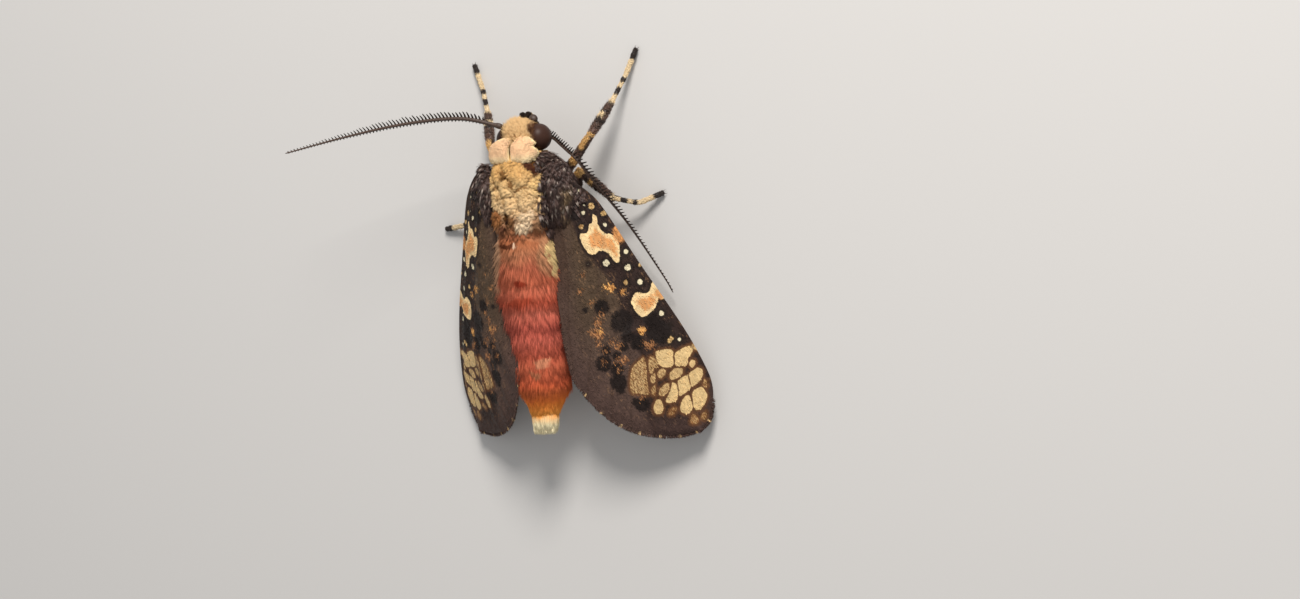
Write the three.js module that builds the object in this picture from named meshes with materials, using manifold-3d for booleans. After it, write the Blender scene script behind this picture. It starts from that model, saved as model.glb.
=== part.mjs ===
// A tiger moth at rest, life size, in millimetres.
// Head towards -Y, tail towards +Y, the moth's right towards -X, back towards +Z, feet at Z = 0.
import * as THREE from 'three';
import { mergeVertices } from 'three/addons/utils/BufferGeometryUtils.js';
import Module from 'manifold-3d';

const wasm = await Module();
wasm.setup();

// ---- driving dimensions ----

const gap = 0.1;              // clear distance between neighbouring solids
const bodyHeight = 6.0;       // height of the body's long axis above the ground
const thoraxCentre = [0, -1.3, bodyHeight];
const thoraxRadii = [4.4, 5.0, 3.85];
const headCentre = [0, -7.5, 5.95];
const headRadii = [2.15, 2.0, 2.35];
const eyeCentre = [1.9, -7.25, 5.9];
const eyeRadii = [1.3, 1.45, 1.5];
const collarCentre = [0.35, -5.2, 6.2];
const collarRadii = [3.35, 2.7, 3.1];
const collarFront = -7.4;
const collarBack = -4.3;
const collarHem = 8.0;        // lower edge of the collar plates
const tegulaCentre = [4.75, -1.2, 7.0];
const tegulaRadii = { right: [1.45, 4.0, 2.1], left: [1.2, 3.9, 2.0] };
const tegulaLean = 34;        // degrees, top of the flap leaning to the midline
const abdomenStart = 2.4;
const abdomenEnd = 23.6;      // where the pink and orange coat gives way to the tail brush
const tailEnd = 25.4;
const abdomenRadius = 3.65;
const abdomenEndRadius = 1.6;
const tailEndRadius = 1.4;
const tailFlatness = 0.5;     // height of the blunt end over its width
const tailLift = 0.6;         // rise of the flattened end's axis
const tailShift = 0.25;       // its further shift to the moth's left
const abdomenTaper = 0.55;    // loss of radius from the base to the last rings
const abdomenBend = 0.45;     // sideways shift of the tip to the moth's left
const abdomenRise = 0.7;      // height of the base's axis above the tip's

// Palps: points from the mouth to the tip, and the radius at each.
const palps = {
  radii: [0.37, 0.35, 0.26],
  right: [[-0.45, -8.8, 4.6], [-0.32, -9.6, 4.55], [-0.18, -9.95, 5.15]],
  left: [[0.5, -8.8, 4.6], [0.52, -9.6, 4.55], [0.46, -9.95, 5.15]],
};

const wingThickness = 0.5;
const hindwingDrop = 0.75;    // hindwing's mid plane under the forewing's

// Each forewing is a plate in its own axes: u runs from the root to the tip, v from the leading edge inwards.
const wingOutline = {
  leading: [[0, -0.9], [2.3, -1.8], [4.8, -2.2], [12, -2.1], [20, -2.1], [25, -1.7], [27.4, -1.1]],
  outer: [[29.1, 0.1], [30.3, 1.4], [30.55, 3.0], [29.9, 4.9], [28.3, 7.2], [26, 9.2], [23, 10.4], [19, 10.9]],
  inner: [[16.4, 10.2], [11.7, 8.2], [7.2, 6], [3.5, 4], [0, 1.8]],
};
const hindwingOutline = {
  leading: [[2.5, -0.6], [8, -0.8], [15, 0.2], [19.8, 2.2]],
  outer: [[22, 4.2], [22.2, 6.4], [20.4, 8.4], [17, 9.2]],
  inner: [[11, 6.9], [6, 4.4], [2.5, 2.4]],
};
const wingCamber = 0.55;      // rise of the plate's middle over its edges
const wingCurlStart = 12;     // beyond this u the plate bends down towards its tip
const wingLength = 30.55;
const wings = {
  right: { side: -1, root: [4.9, -2.2, 7.7], sweep: 26.3, droop: 12.3, roof: 22, curl: 0 },
  left: { side: 1, root: [4.9, -3.5, 8.4], sweep: 19, droop: 12.8, roof: 28.5, curl: 1.7 },
};

// Legs: joints from the body outwards, and the radius at each.
const legs = {
  fore_right: {
    femur: [[-1.9, -4.4, 3.3], [-4.0, -3.6, 3.7], [-7.4, -6.8, 4.8]],
    tibia: [[-7.4, -6.8, 4.8], [-9.4, -10.3, 2.6]],
    tarsus: [[-9.4, -10.3, 2.6], [-10.6, -13.0, 1.1], [-11.8, -15.8, 0.3]],
  },
  fore_left: {
    femur: [[1.9, -4.6, 3.3], [4.2, -4.6, 2.9], [5.9, -6.4, 3.1]],
    tibia: [[5.9, -6.4, 3.1], [6.7, -10.4, 1.5]],
    tarsus: [[6.7, -10.4, 1.5], [7.5, -13.0, 0.7], [8.5, -15.9, 0.3]],
  },
  mid_right: {
    femur: [[-2.2, -1.6, 2.8], [-4.8, -1.6, 3.6], [-5.7, -3.3, 4.9]],
    tibia: [[-5.7, -3.3, 4.9], [-8.8, 0.1, 3.4]],
    tarsus: [[-8.8, 0.1, 3.4], [-11.0, 0.9, 1.6], [-13.5, 0.0, 0.3]],
  },
  mid_left: {
    femur: [[2.2, -1.6, 2.8], [4.6, -1.8, 3.2], [5.8, -2.6, 4.3]],
    tibia: [[5.8, -2.6, 4.3], [9.1, 1.2, 2.1]],
    tarsus: [[9.1, 1.2, 2.1], [11.6, 2.1, 0.9], [14.4, 2.4, 0.3]],
  },
  hind_right: {
    femur: [[-2.0, 0.9, 2.8], [-3.9, 2.4, 2.9], [-5.6, 4.6, 4.2]],
    tibia: [[-5.6, 4.6, 4.2], [-8.2, 9.4, 2.2]],
    tarsus: [[-8.2, 9.4, 2.2], [-9.4, 11.6, 0.9], [-10.6, 13.8, 0.3]],
  },
  hind_left: {
    femur: [[2.0, 0.9, 2.8], [3.8, 2.4, 2.7], [5.2, 4.4, 3.6]],
    tibia: [[5.2, 4.4, 3.6], [7.6, 9.0, 1.7]],
    tarsus: [[7.6, 9.0, 1.7], [8.8, 11.2, 0.8], [10.0, 13.4, 0.3]],
  },
};
const limbRadii = { femur: [0.6, 0.62, 0.55], tibia: [0.55, 0.55, 0.42], tarsus: [0.33, 0.28, 0.4] };

// Antennae: a stem with its comb of teeth, as a flattened rod that tapers to the tip.
const antennaWidth = 0.75;    // across the teeth, near the root
const antennaThickness = 0.5;
const antennaTipScale = 0.68;
const antennae = {
  right: [
    [-1.2, -9.6, 5.9], [-1.3, -9.4, 4.9], [-1.4, -8.7, 3.95], [-1.75, -7.9, 3.8], [-2.3, -7.2, 4.0],
    [-3.0, -6.8, 4.35], [-3.8, -6.3, 4.9], [-5.0, -5.5, 5.6], [-6.4, -4.4, 6.2], [-8.2, -1.2, 5.2],
    [-10.6, 3.2, 3.6], [-13.2, 8.9, 1.9], [-14.0, 10.9, 1.45],
  ],
  left: [[1.5, -8.7, 7.7], [5.9, -10.0, 9.0], [12.0, -10.0, 10.4], [19.0, -9.2, 11.7], [26.4, -8.0, 13.0]],
};

const colours = {
  cream: 0xe3c992, creamPink: 0xe8bd94, brown: 0x35241d, wing: 0x4a3a30, hindwing: 0x6b5a52,
  pink: 0xb4544e, orange: 0xd98a4a, eye: 0x2c1812, leg: 0x4a3527, antenna: 0x33241f,
};

// ---- solids ----

function toSolid(geometry) {
  const bare = geometry.clone();
  bare.deleteAttribute('normal');
  bare.deleteAttribute('uv');
  const merged = mergeVertices(bare, 1e-4);
  const mesh = new wasm.Mesh({
    numProp: 3,
    vertProperties: new Float32Array(merged.attributes.position.array),
    triVerts: new Uint32Array(merged.index.array),
  });
  return new wasm.Manifold(mesh);
}

function toGeometry(solid) {
  const mesh = solid.getMesh();
  const geometry = new THREE.BufferGeometry();
  geometry.setAttribute('position', new THREE.BufferAttribute(mesh.vertProperties, 3));
  geometry.setIndex(new THREE.BufferAttribute(mesh.triVerts, 1));
  geometry.computeVertexNormals();
  return geometry;
}

// Joins rings of equal length into a closed skin, with a fan over each end.
function loft(rings) {
  const count = rings[0].length;
  const points = rings.flat();
  const faces = [];
  for (let i = 0; i + 1 < rings.length; i += 1) {
    for (let j = 0; j < count; j += 1) {
      const k = (j + 1) % count;
      const a = i * count + j;
      const b = i * count + k;
      faces.push([a, b, a + count], [b, b + count, a + count]);
    }
  }
  const ends = [[0, true], [rings.length - 1, false]];
  for (const [ring, first] of ends) {
    const centre = new THREE.Vector3();
    for (const point of rings[ring]) centre.addScaledVector(point, 1 / count);
    points.push(centre);
    for (let j = 0; j < count; j += 1) {
      const a = ring * count + j;
      const b = ring * count + ((j + 1) % count);
      faces.push(first ? [b, a, points.length - 1] : [a, b, points.length - 1]);
    }
  }
  return closedSkin(points, faces);
}

// Turns the faces outwards where the enclosed volume comes out negative.
function closedSkin(points, faces) {
  let volume = 0;
  for (const [a, b, c] of faces) {
    volume += points[a].dot(new THREE.Vector3().crossVectors(points[b], points[c]));
  }
  const index = faces.flatMap(([a, b, c]) => (volume < 0 ? [a, c, b] : [a, b, c]));
  const geometry = new THREE.BufferGeometry();
  geometry.setAttribute('position', new THREE.Float32BufferAttribute(points.flatMap((p) => p.toArray()), 3));
  geometry.setIndex(index);
  return toSolid(geometry);
}

// A rounded lump: a sphere stretched to three radii and squared off a little.
function lump(centre, radii, { grow = 0, fullness = 2, around = 24, along = 14 } = {}) {
  const geometry = new THREE.SphereGeometry(1, around, along);
  geometry.rotateX(Math.PI / 2);
  const position = geometry.attributes.position;
  for (let i = 0; i < position.count; i += 1) {
    const p = new THREE.Vector3().fromBufferAttribute(position, i);
    const powers = [p.x, p.y, p.z].map((value) => Math.abs(value) ** fullness);
    p.divideScalar((powers[0] + powers[1] + powers[2]) ** (1 / fullness));
    position.setXYZ(
      i,
      centre[0] + p.x * (radii[0] + grow),
      centre[1] + p.y * (radii[1] + grow),
      centre[2] + p.z * (radii[2] + grow),
    );
  }
  return toSolid(geometry);
}

function block(min, max) {
  const size = max.map((value, i) => value - min[i]);
  const geometry = new THREE.BoxGeometry(...size);
  geometry.translate(...min.map((value, i) => value + size[i] / 2));
  return toSolid(geometry);
}

const roundedEnd = 0.55;      // share of the radius left at a rod's two ends

// A rod through a list of points, round or flattened, with rounded ends and no point under the ground.
function rod(points, radii, { grow = 0, sides = 7, steps = 4, flatten = 1 } = {}) {
  const curve = new THREE.CatmullRomCurve3(points.map((p) => new THREE.Vector3(...p)));
  const rings = [];
  const stations = [0];
  for (let i = 0; i <= steps; i += 1) stations.push(0.03 + (0.94 * i) / steps);
  stations.push(1);
  for (const t of stations) {
    const centre = curve.getPointAt(t);
    const along = curve.getTangentAt(t);
    const across = new THREE.Vector3(0, 0, 1);
    across.addScaledVector(along, -across.dot(along)).normalize();
    const third = new THREE.Vector3().crossVectors(along, across);
    const place = t * (radii.length - 1);
    const low = Math.min(Math.floor(place), radii.length - 2);
    const radius = THREE.MathUtils.lerp(radii[low], radii[low + 1], place - low);
    const closing = t === 0 || t === 1 ? roundedEnd : 1;
    const ring = [];
    for (let j = 0; j < sides; j += 1) {
      const angle = (2 * Math.PI * (j + 0.5)) / sides;
      const point = centre.clone();
      point.addScaledVector(across, Math.cos(angle) * (radius * closing + grow));
      point.addScaledVector(third, Math.sin(angle) * (radius * flatten * closing + grow));
      point.z = Math.max(point.z, 0);
      ring.push(point);
    }
    rings.push(ring);
  }
  return loft(rings);
}

// ---- body ----

const mirrored = (point, side) => [point[0] * side, point[1], point[2]];

function makeThorax(grow = 0) {
  return lump(thoraxCentre, thoraxRadii, { grow, fullness: 2.8, around: 20, along: 12 });
}

function makeHead(grow = 0) {
  return lump(headCentre, headRadii, { grow, fullness: 2.3, around: 16, along: 10 });
}

function makeEye(side, grow = 0) {
  return lump(mirrored(eyeCentre, side), eyeRadii, { grow, around: 14, along: 8 });
}

// One of the two smooth plates that cover the neck, split at the midline.
function makeCollar(side, grow = 0) {
  const whole = lump(collarCentre, collarRadii, { grow, fullness: 3.4, around: 20, along: 12 });
  const near = gap / 2 - grow;
  const far = collarRadii[0] + 1;
  const region = block(
    [side < 0 ? -far : near, collarFront - grow, collarHem - grow],
    [side < 0 ? -near : far, collarBack + grow, collarCentre[2] + collarRadii[2] + 1],
  );
  return whole.intersect(region);
}

// The scaly flap over each wing's root.
function makeTegula(side, grow = 0) {
  const radii = side < 0 ? tegulaRadii.right : tegulaRadii.left;
  const flap = lump([0, 0, 0], radii, { grow, fullness: 2.2, around: 14, along: 10 });
  return flap.rotate([0, -side * tegulaLean, 0]).translate(mirrored(tegulaCentre, side));
}

// The abdomen and its tail brush share one outline, from the waist to the blunt end.
function abdomenStation(y) {
  const t = (y - abdomenStart) / (tailEnd - abdomenStart);
  const tail = THREE.MathUtils.smoothstep(y, abdomenStart + 16, abdomenEnd + 0.8);
  const flat = THREE.MathUtils.smoothstep(y, abdomenStart + 19, abdomenEnd + 1);
  const waist = THREE.MathUtils.smoothstep(y, abdomenStart - 2.5, abdomenStart + 3);
  const belly = THREE.MathUtils.lerp(abdomenRadius, abdomenRadius - abdomenTaper, t);
  let radius = THREE.MathUtils.lerp(belly, abdomenEndRadius, tail) * THREE.MathUtils.lerp(0.8, 1, waist);
  if (y > abdomenEnd) {
    const brush = (y - abdomenEnd) / (tailEnd - abdomenEnd);
    radius = THREE.MathUtils.lerp(radius, tailEndRadius, brush ** 1.5);
  }
  return {
    radius,
    height: radius * THREE.MathUtils.lerp(1, tailFlatness, flat),
    x: abdomenBend * t + tailShift * flat,
    z: bodyHeight + abdomenRise * (1 - t) + tailLift * flat,
  };
}

function abdomenLength(from, to, steps, grow = 0) {
  const rings = [];
  const sides = 18;
  for (let i = 0; i <= steps; i += 1) {
    const y = from - grow + ((to - from + 2 * grow) * i) / steps;
    const { radius, height, x, z } = abdomenStation(y);
    const ring = [];
    for (let j = 0; j < sides; j += 1) {
      const angle = (2 * Math.PI * j) / sides;
      ring.push(new THREE.Vector3(x + Math.cos(angle) * (radius + grow), y, z + Math.sin(angle) * (height + grow)));
    }
    rings.push(ring);
  }
  return loft(rings);
}

// ---- wings ----

const spline = (points) => new THREE.CatmullRomCurve3(points.map(([u, v]) => new THREE.Vector3(u, v, 0)));

// Places a point of the wing's own plane (u, v, height above it) on the moth.
function wingPlacement({ side, root, sweep, droop, roof, curl }) {
  const degrees = THREE.MathUtils.degToRad;
  const axis = new THREE.Vector3(
    Math.sin(degrees(sweep)) * Math.cos(degrees(droop)),
    Math.cos(degrees(sweep)) * Math.cos(degrees(droop)),
    -Math.sin(degrees(droop)),
  );
  const level = new THREE.Vector3(-Math.cos(degrees(sweep)), Math.sin(degrees(sweep)), 0);
  const inward = level.applyAxisAngle(axis, degrees(roof));
  const up = new THREE.Vector3().crossVectors(inward, axis);
  if (up.z < 0) up.negate();
  return (u, v, height) => {
    const point = new THREE.Vector3(...root);
    const bend = Math.max(0, (u - wingCurlStart) / (wingLength - wingCurlStart)) ** 2;
    point.addScaledVector(axis, u).addScaledVector(inward, v).addScaledVector(up, height - curl * bend);
    point.x *= side;
    return point;
  };
}

// A thin cambered plate inside an outline, lofted from root to tip.
function plate(outline, placement, drop, grow = 0) {
  const edge = [...outline.leading, ...outline.outer, ...outline.inner];
  const peak = Math.max(...edge.map(([u]) => u));
  const tip = edge.findIndex(([u]) => u === peak);
  const front = spline(edge.slice(0, tip + 1));
  const back = spline(edge.slice(tip).reverse());
  const steps = 18;
  const chordSteps = 6;
  const half = wingThickness / 2 + grow;
  const rings = [];
  for (let i = 0; i <= steps; i += 1) {
    const t = 1 - (1 - i / steps) ** 1.35;
    const a = front.getPointAt(Math.min(t, 0.995));
    const b = back.getPointAt(Math.min(t, 0.995));
    const ring = [];
    for (const face of [1, -1]) {
      for (let j = 0; j <= chordSteps; j += 1) {
        const share = face > 0 ? j / chordSteps : 1 - j / chordSteps;
        const rise = wingCamber * 4 * share * (1 - share) * Math.min(1, 4 * t) - wingCamber * 0.5;
        const u = THREE.MathUtils.lerp(a.x, b.x, share);
        const v = THREE.MathUtils.lerp(a.y, b.y, share);
        ring.push(placement(u, v, rise - drop + face * half));
      }
    }
    rings.push(ring);
  }
  return loft(rings);
}

// ---- assembly ----

const moth = new THREE.Group();
moth.name = 'moth';

function add(name, solid, colour, roughness = 0.8) {
  const material = new THREE.MeshStandardMaterial({ color: colour, roughness, metalness: 0 });
  const mesh = new THREE.Mesh(toGeometry(solid), material);
  mesh.name = name;
  moth.add(mesh);
}

const sides = { right: -1, left: 1 };
let thorax = makeThorax().subtract(makeHead(gap));
let head = makeHead();

for (const [sideName, side] of Object.entries(sides)) {
  add(`eye_${sideName}`, makeEye(side), colours.eye, 0.15);
  head = head.subtract(makeEye(side, gap));

  const palp = rod(palps[sideName], palps.radii);
  add(`palp_${sideName}`, palp.subtract(makeHead(gap)), colours.brown);

  const collar = makeCollar(side).subtract(makeHead(gap)).subtract(makeEye(side, gap));
  add(`collar_${sideName}`, collar, colours.creamPink, 0.6);
  thorax = thorax.subtract(makeCollar(side, gap)).subtract(makeEye(side, gap));

  const tegula = makeTegula(side).subtract(makeThorax(gap)).subtract(makeCollar(side, gap));
  add(`tegula_${sideName}`, tegula, colours.brown);

  const antenna = rod(antennae[sideName], [antennaWidth / 2, antennaWidth * antennaTipScale / 2], {
    sides: 6,
    steps: 20,
    flatten: antennaThickness / antennaWidth,
  });
  add(`antenna_${sideName}`, antenna.subtract(makeHead(gap)).subtract(makeEye(side, gap)), colours.antenna);

  const placement = wingPlacement(wings[sideName]);
  const cover = [
    makeThorax(gap),
    makeTegula(side, gap),
    abdomenLength(abdomenStart, abdomenEnd, 12, gap),
  ];
  let forewing = plate(wingOutline, placement, 0);
  let hindwing = plate(hindwingOutline, placement, hindwingDrop);
  for (const solid of cover) {
    forewing = forewing.subtract(solid);
    hindwing = hindwing.subtract(solid);
  }
  add(`forewing_${sideName}`, forewing, colours.wing, 0.6);
  add(`hindwing_${sideName}`, hindwing, colours.hindwing, 0.6);
}

for (const [name, leg] of Object.entries(legs)) {
  const side = name.endsWith('right') ? -1 : 1;
  const femur = (grow) => rod(leg.femur, limbRadii.femur, { grow });
  const tibia = (grow) => rod(leg.tibia, limbRadii.tibia, { grow });
  const femurFree = femur(0).subtract(makeThorax(gap)).subtract(makeTegula(side, gap));
  add(`${name}_femur`, femurFree, colours.leg);
  add(`${name}_tibia`, tibia(0).subtract(femur(gap)), colours.leg);
  add(`${name}_tarsus`, rod(leg.tarsus, limbRadii.tarsus).subtract(tibia(gap)), colours.leg);
}

const abdomen = abdomenLength(abdomenStart, abdomenEnd - gap / 2, 14).subtract(makeThorax(gap));
add('abdomen', abdomen, colours.pink);
add('tail_tuft', abdomenLength(abdomenEnd + gap / 2, tailEnd, 4), colours.cream);
add('head', head, colours.cream);
add('thorax', thorax, colours.cream);

// The origin is under the middle of the whole moth, on the ground.
const bounds = new THREE.Box3().setFromObject(moth);
const middle = bounds.getCenter(new THREE.Vector3());
moth.position.set(-middle.x, -middle.y, -bounds.min.z);

export default moth;
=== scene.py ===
import math
import random
import bpy
import bmesh
import numpy as np
from mathutils import Matrix, Vector, kdtree, noise


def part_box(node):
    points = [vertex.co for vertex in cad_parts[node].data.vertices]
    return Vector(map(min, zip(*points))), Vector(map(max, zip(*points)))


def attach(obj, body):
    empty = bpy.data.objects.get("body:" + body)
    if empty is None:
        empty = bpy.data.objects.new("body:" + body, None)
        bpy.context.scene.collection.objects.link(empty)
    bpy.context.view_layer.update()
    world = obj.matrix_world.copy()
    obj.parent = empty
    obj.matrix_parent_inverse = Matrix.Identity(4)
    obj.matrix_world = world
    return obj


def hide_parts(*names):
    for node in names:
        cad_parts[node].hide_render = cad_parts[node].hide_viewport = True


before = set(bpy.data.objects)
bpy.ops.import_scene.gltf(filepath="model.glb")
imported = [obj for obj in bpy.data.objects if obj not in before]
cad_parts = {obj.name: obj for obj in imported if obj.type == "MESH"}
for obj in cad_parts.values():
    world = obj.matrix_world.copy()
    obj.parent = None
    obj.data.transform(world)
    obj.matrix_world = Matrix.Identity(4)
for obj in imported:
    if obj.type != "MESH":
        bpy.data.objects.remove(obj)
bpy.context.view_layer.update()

# A tiger moth at rest. Sizes below are in millimetres, measured from the middle of the thorax:
# x to the moth's left, y to its tail, z up from the ground.
mm = 0.001
eyeMiddle = {"x": 1.9, "y": -7.25, "z": 5.9}     # of the left eye; the right one mirrors it


def boxMiddle(node):
    low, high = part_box(node)
    return (Vector(low) + Vector(high)) / 2


betweenEyes = (boxMiddle("eye_left") + boxMiddle("eye_right")) / 2
home = np.array([betweenEyes.x, betweenEyes.y - eyeMiddle["y"] * mm, 0])
share = 1.0               # of the coat's tufts, for a rough look
sides = {"left": 1, "right": -1}
noise.seed_set(3)


def smooth(value, low, high):
    part = np.clip((np.asarray(value, float) - low) / (high - low), 0, 1)
    return part * part * (3 - 2 * part)


def blend(a, b, part):
    return a + (b - a) * part


def bulge(value, middle, reach, fullness):
    # a rounded hump, 1 at its middle and 0 at its reach
    part = np.abs((np.asarray(value, float) - middle) / reach) ** fullness
    return np.clip(1 - part, 0, 1) ** (1 / fullness)


def unit(vectors):
    return vectors / np.maximum(np.linalg.norm(vectors, axis=-1, keepdims=True), 1e-9)


def noiseAt(points, size, seed):
    # smooth noise from about -1 to 1 with features of the given size
    return np.array([noise.noise(Vector(p) / size + Vector((seed * 7.3, seed, -seed))) for p in points])


def swirlAt(points, size, seed):
    shift = Vector((seed, -3.1 * seed, seed * 5.7))
    return np.array([noise.noise_vector(Vector(p) / size + shift) for p in points])


def addPiece(name, points, faces, material):
    mesh = bpy.data.meshes.new(name)
    mesh.from_pydata((home + np.asarray(points, float) * mm).tolist(), [], faces)
    mesh.materials.append(material)
    mesh.polygons.foreach_set("use_smooth", [True] * len(mesh.polygons))
    piece = bpy.data.objects.new(name, mesh)
    bpy.context.collection.objects.link(piece)
    return piece


def turnOutwards(mesh):
    work = bmesh.new()
    work.from_mesh(mesh)
    bmesh.ops.recalc_face_normals(work, faces=work.faces)
    work.to_mesh(mesh)
    work.free()


def addShape(name, shape, material):
    # a closed piece: its points, its faces, and each face's corners on the map
    points, faces, corners = shape
    piece = addPiece(name, points, faces, material)
    flat = [value for face in corners for corner in face for value in corner]
    piece.data.uv_layers.new(name="OFBake").data.foreach_set("uv", flat)
    turnOutwards(piece.data)
    return piece


def setFloats(mesh, name, values):
    values = np.array(np.broadcast_to(np.asarray(values, np.float32).ravel(), len(mesh.vertices)))
    mesh.attributes.new(name, "FLOAT", "POINT").data.foreach_set("value", values)


def setVectors(mesh, name, values):
    values = np.asarray(values, np.float32).ravel()
    mesh.attributes.new(name, "FLOAT_VECTOR", "POINT").data.foreach_set("vector", values)


def placesOf(mesh):
    flat = np.empty(len(mesh.vertices) * 3, np.float32)
    mesh.vertices.foreach_get("co", flat)
    return (flat.reshape(-1, 3) - home) / mm


def normalsOf(mesh):
    flat = np.empty(len(mesh.vertices) * 3, np.float32)
    mesh.vertices.foreach_get("normal", flat)
    return flat.reshape(-1, 3).astype(float)


def layOn(normals, direction, liftDegrees):
    # lays a direction flat on a surface, then lifts it by so many degrees
    flat = direction - normals * np.sum(direction * normals, axis=1)[:, None]
    lift = np.broadcast_to(np.radians(liftDegrees), len(normals))[:, None]
    return unit(flat) * np.cos(lift) + normals * np.sin(lift)


def runAlong(path):
    return np.concatenate([[0], np.cumsum(np.linalg.norm(np.diff(path, axis=0), axis=1))])


def nearestOn(path, places):
    return np.argmin(np.linalg.norm(places[:, None] - path[None], axis=2), axis=1)


def finishPiece(piece, slot, *nodes):
    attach(piece, "root")
    if nodes:
        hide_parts(*nodes)


def loft(rings):
    # rings: ring by ring, points round each; both ends close in a pole
    count, around = len(rings), len(rings[0])
    points = [p for ring in rings for p in ring]
    points += [np.mean(rings[0], axis=0), np.mean(rings[-1], axis=0)]
    faces, corners = [], []
    run = runAlong(np.mean(rings, axis=1))
    along = 0.03 + 0.94 * run / max(run[-1], 1e-9)
    last = (count - 1) * around
    turns = [(j, (j + 1) % around, j / around, (j + 1) / around) for j in range(around)]
    for i in range(count - 1):
        for j, k, a, b in turns:
            faces.append((i * around + j, i * around + k, (i + 1) * around + k, (i + 1) * around + j))
            corners.append(((a, along[i]), (b, along[i]), (b, along[i + 1]), (a, along[i + 1])))
    for j, k, a, b in turns:
        faces.append((count * around, k, j))
        corners.append((((a + b) / 2, 0), (b, along[0]), (a, along[0])))
        faces.append((count * around + 1, last + j, last + k))
        corners.append((((a + b) / 2, 1), (a, along[-1]), (b, along[-1])))
    return points, faces, corners


def socketOf(sockets, key):
    if isinstance(key, int):
        return sockets[key]
    return next(s for s in sockets if s.name == key and s.enabled)


def addNode(tree, kind, sockets=None, **settings):
    made = tree.nodes.new(kind)
    for name, value in settings.items():
        setattr(made, name, value)
    for key, value in (sockets or {}).items():
        socket = socketOf(made.inputs, key)
        if isinstance(value, bpy.types.NodeSocket):
            tree.links.new(value, socket)
        else:
            socket.default_value = value
    return made


def treeOf(*values):
    return next(value.id_data for value in values if isinstance(value, bpy.types.NodeSocket))


def calculate(operation, a, b=0.0, c=0.0):
    return addNode(treeOf(a, b, c), "ShaderNodeMath", {0: a, 1: b, 2: c}, operation=operation).outputs[0]


def times(a, b):
    return calculate("MULTIPLY", a, b)


def timesPlus(a, factor, more):
    return calculate("MULTIPLY_ADD", a, factor, more)


def vectorMath(operation, a, b, c=(0, 0, 0)):
    sockets = {0: a, 1: b, 2: c}
    return addNode(treeOf(a, b), "ShaderNodeVectorMath", sockets, operation=operation).outputs[0]


def vectorTimes(vector, amount):
    sockets = {0: vector, "Scale": amount}
    return addNode(treeOf(vector), "ShaderNodeVectorMath", sockets, operation="SCALE").outputs[0]


def step(value, low, high):
    # 0 below low, 1 above high, smooth between
    sockets = {"Value": value, "From Min": low, "From Max": high}
    return addNode(treeOf(value), "ShaderNodeMapRange", sockets, interpolation_type="SMOOTHSTEP").outputs[0]


def mix(factor, a, b, way="MIX"):
    sockets = {0: factor, 6: a, 7: b}
    made = addNode(treeOf(factor, a, b), "ShaderNodeMix", sockets, data_type="RGBA", blend_type=way)
    return made.outputs[2]


def layOver(colour, washes):
    # lays each wash over the colour where its mask says
    for mask, wash in washes:
        colour = mix(mask, colour, wash)
    return colour


def shaded(colour, shade):
    grey = addNode(treeOf(shade), "ShaderNodeCombineColor", {0: shade, 1: shade, 2: shade}).outputs[0]
    return mix(1.0, colour, grey, "MULTIPLY")


def paint(shader, colour):
    shader.id_data.links.new(colour, shader.inputs["Base Color"])


def grain(vector, scale, detail=2.0, output=0):
    sockets = {"Vector": vector, "Scale": scale, "Detail": detail}
    return addNode(treeOf(vector), "ShaderNodeTexNoise", sockets).outputs[output]


def partsOf(vector):
    return addNode(treeOf(vector), "ShaderNodeSeparateXYZ", {0: vector}).outputs


def layer(tree, name):
    # a value that a mesh holds for each of its points
    output = "Vector" if name in ("place", "wound") else "Fac"
    return addNode(tree, "ShaderNodeAttribute", attribute_name=name).outputs[output]


def layers(tree, *names):
    return [layer(tree, name) for name in names]


def rgb(red, green, blue):
    return (red, green, blue, 1.0)


def newMaterial(name, roughness, specular=0.3):
    material = bpy.data.materials.new(name)
    material.use_nodes = True
    shader = material.node_tree.nodes["Principled BSDF"]
    shader.inputs["Roughness"].default_value = roughness
    shader.inputs["Specular IOR Level"].default_value = specular
    return material, material.node_tree, shader


def newGroup(name, kind, inputs, outputs):
    # inputs and outputs: each name with its kind of socket
    tree = bpy.data.node_groups.new(name, kind)
    for direction, sockets in (("INPUT", inputs), ("OUTPUT", outputs)):
        for label, socketKind in sockets.items():
            tree.interface.new_socket(name=label, in_out=direction, socket_type="NodeSocket" + socketKind)
    return tree, tree.nodes.new("NodeGroupInput"), tree.nodes.new("NodeGroupOutput")


def named(tree, name, kind="FLOAT"):
    return addNode(tree, "GeometryNodeInputNamedAttribute", {"Name": name}, data_type=kind).outputs[0]


def randomIn(seed, low, high, kind="FLOAT"):
    sockets = {"Min": low, "Max": high, "Seed": seed}
    made = addNode(treeOf(seed), "FunctionNodeRandomValue", sockets, data_type=kind)
    return socketOf(made.outputs, "Value")


def nextNode(geometry, kind, sockets=None, **settings):
    # the next node along a geometry's way
    return addNode(geometry.id_data, kind, {"Geometry": geometry, **(sockets or {})}, **settings).outputs[0]


def store(geometry, name, value, kind="FLOAT_VECTOR", domain="POINT"):
    sockets = {"Name": name, "Value": value}
    return nextNode(geometry, "GeometryNodeStoreNamedAttribute", sockets, data_type=kind, domain=domain)


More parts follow.
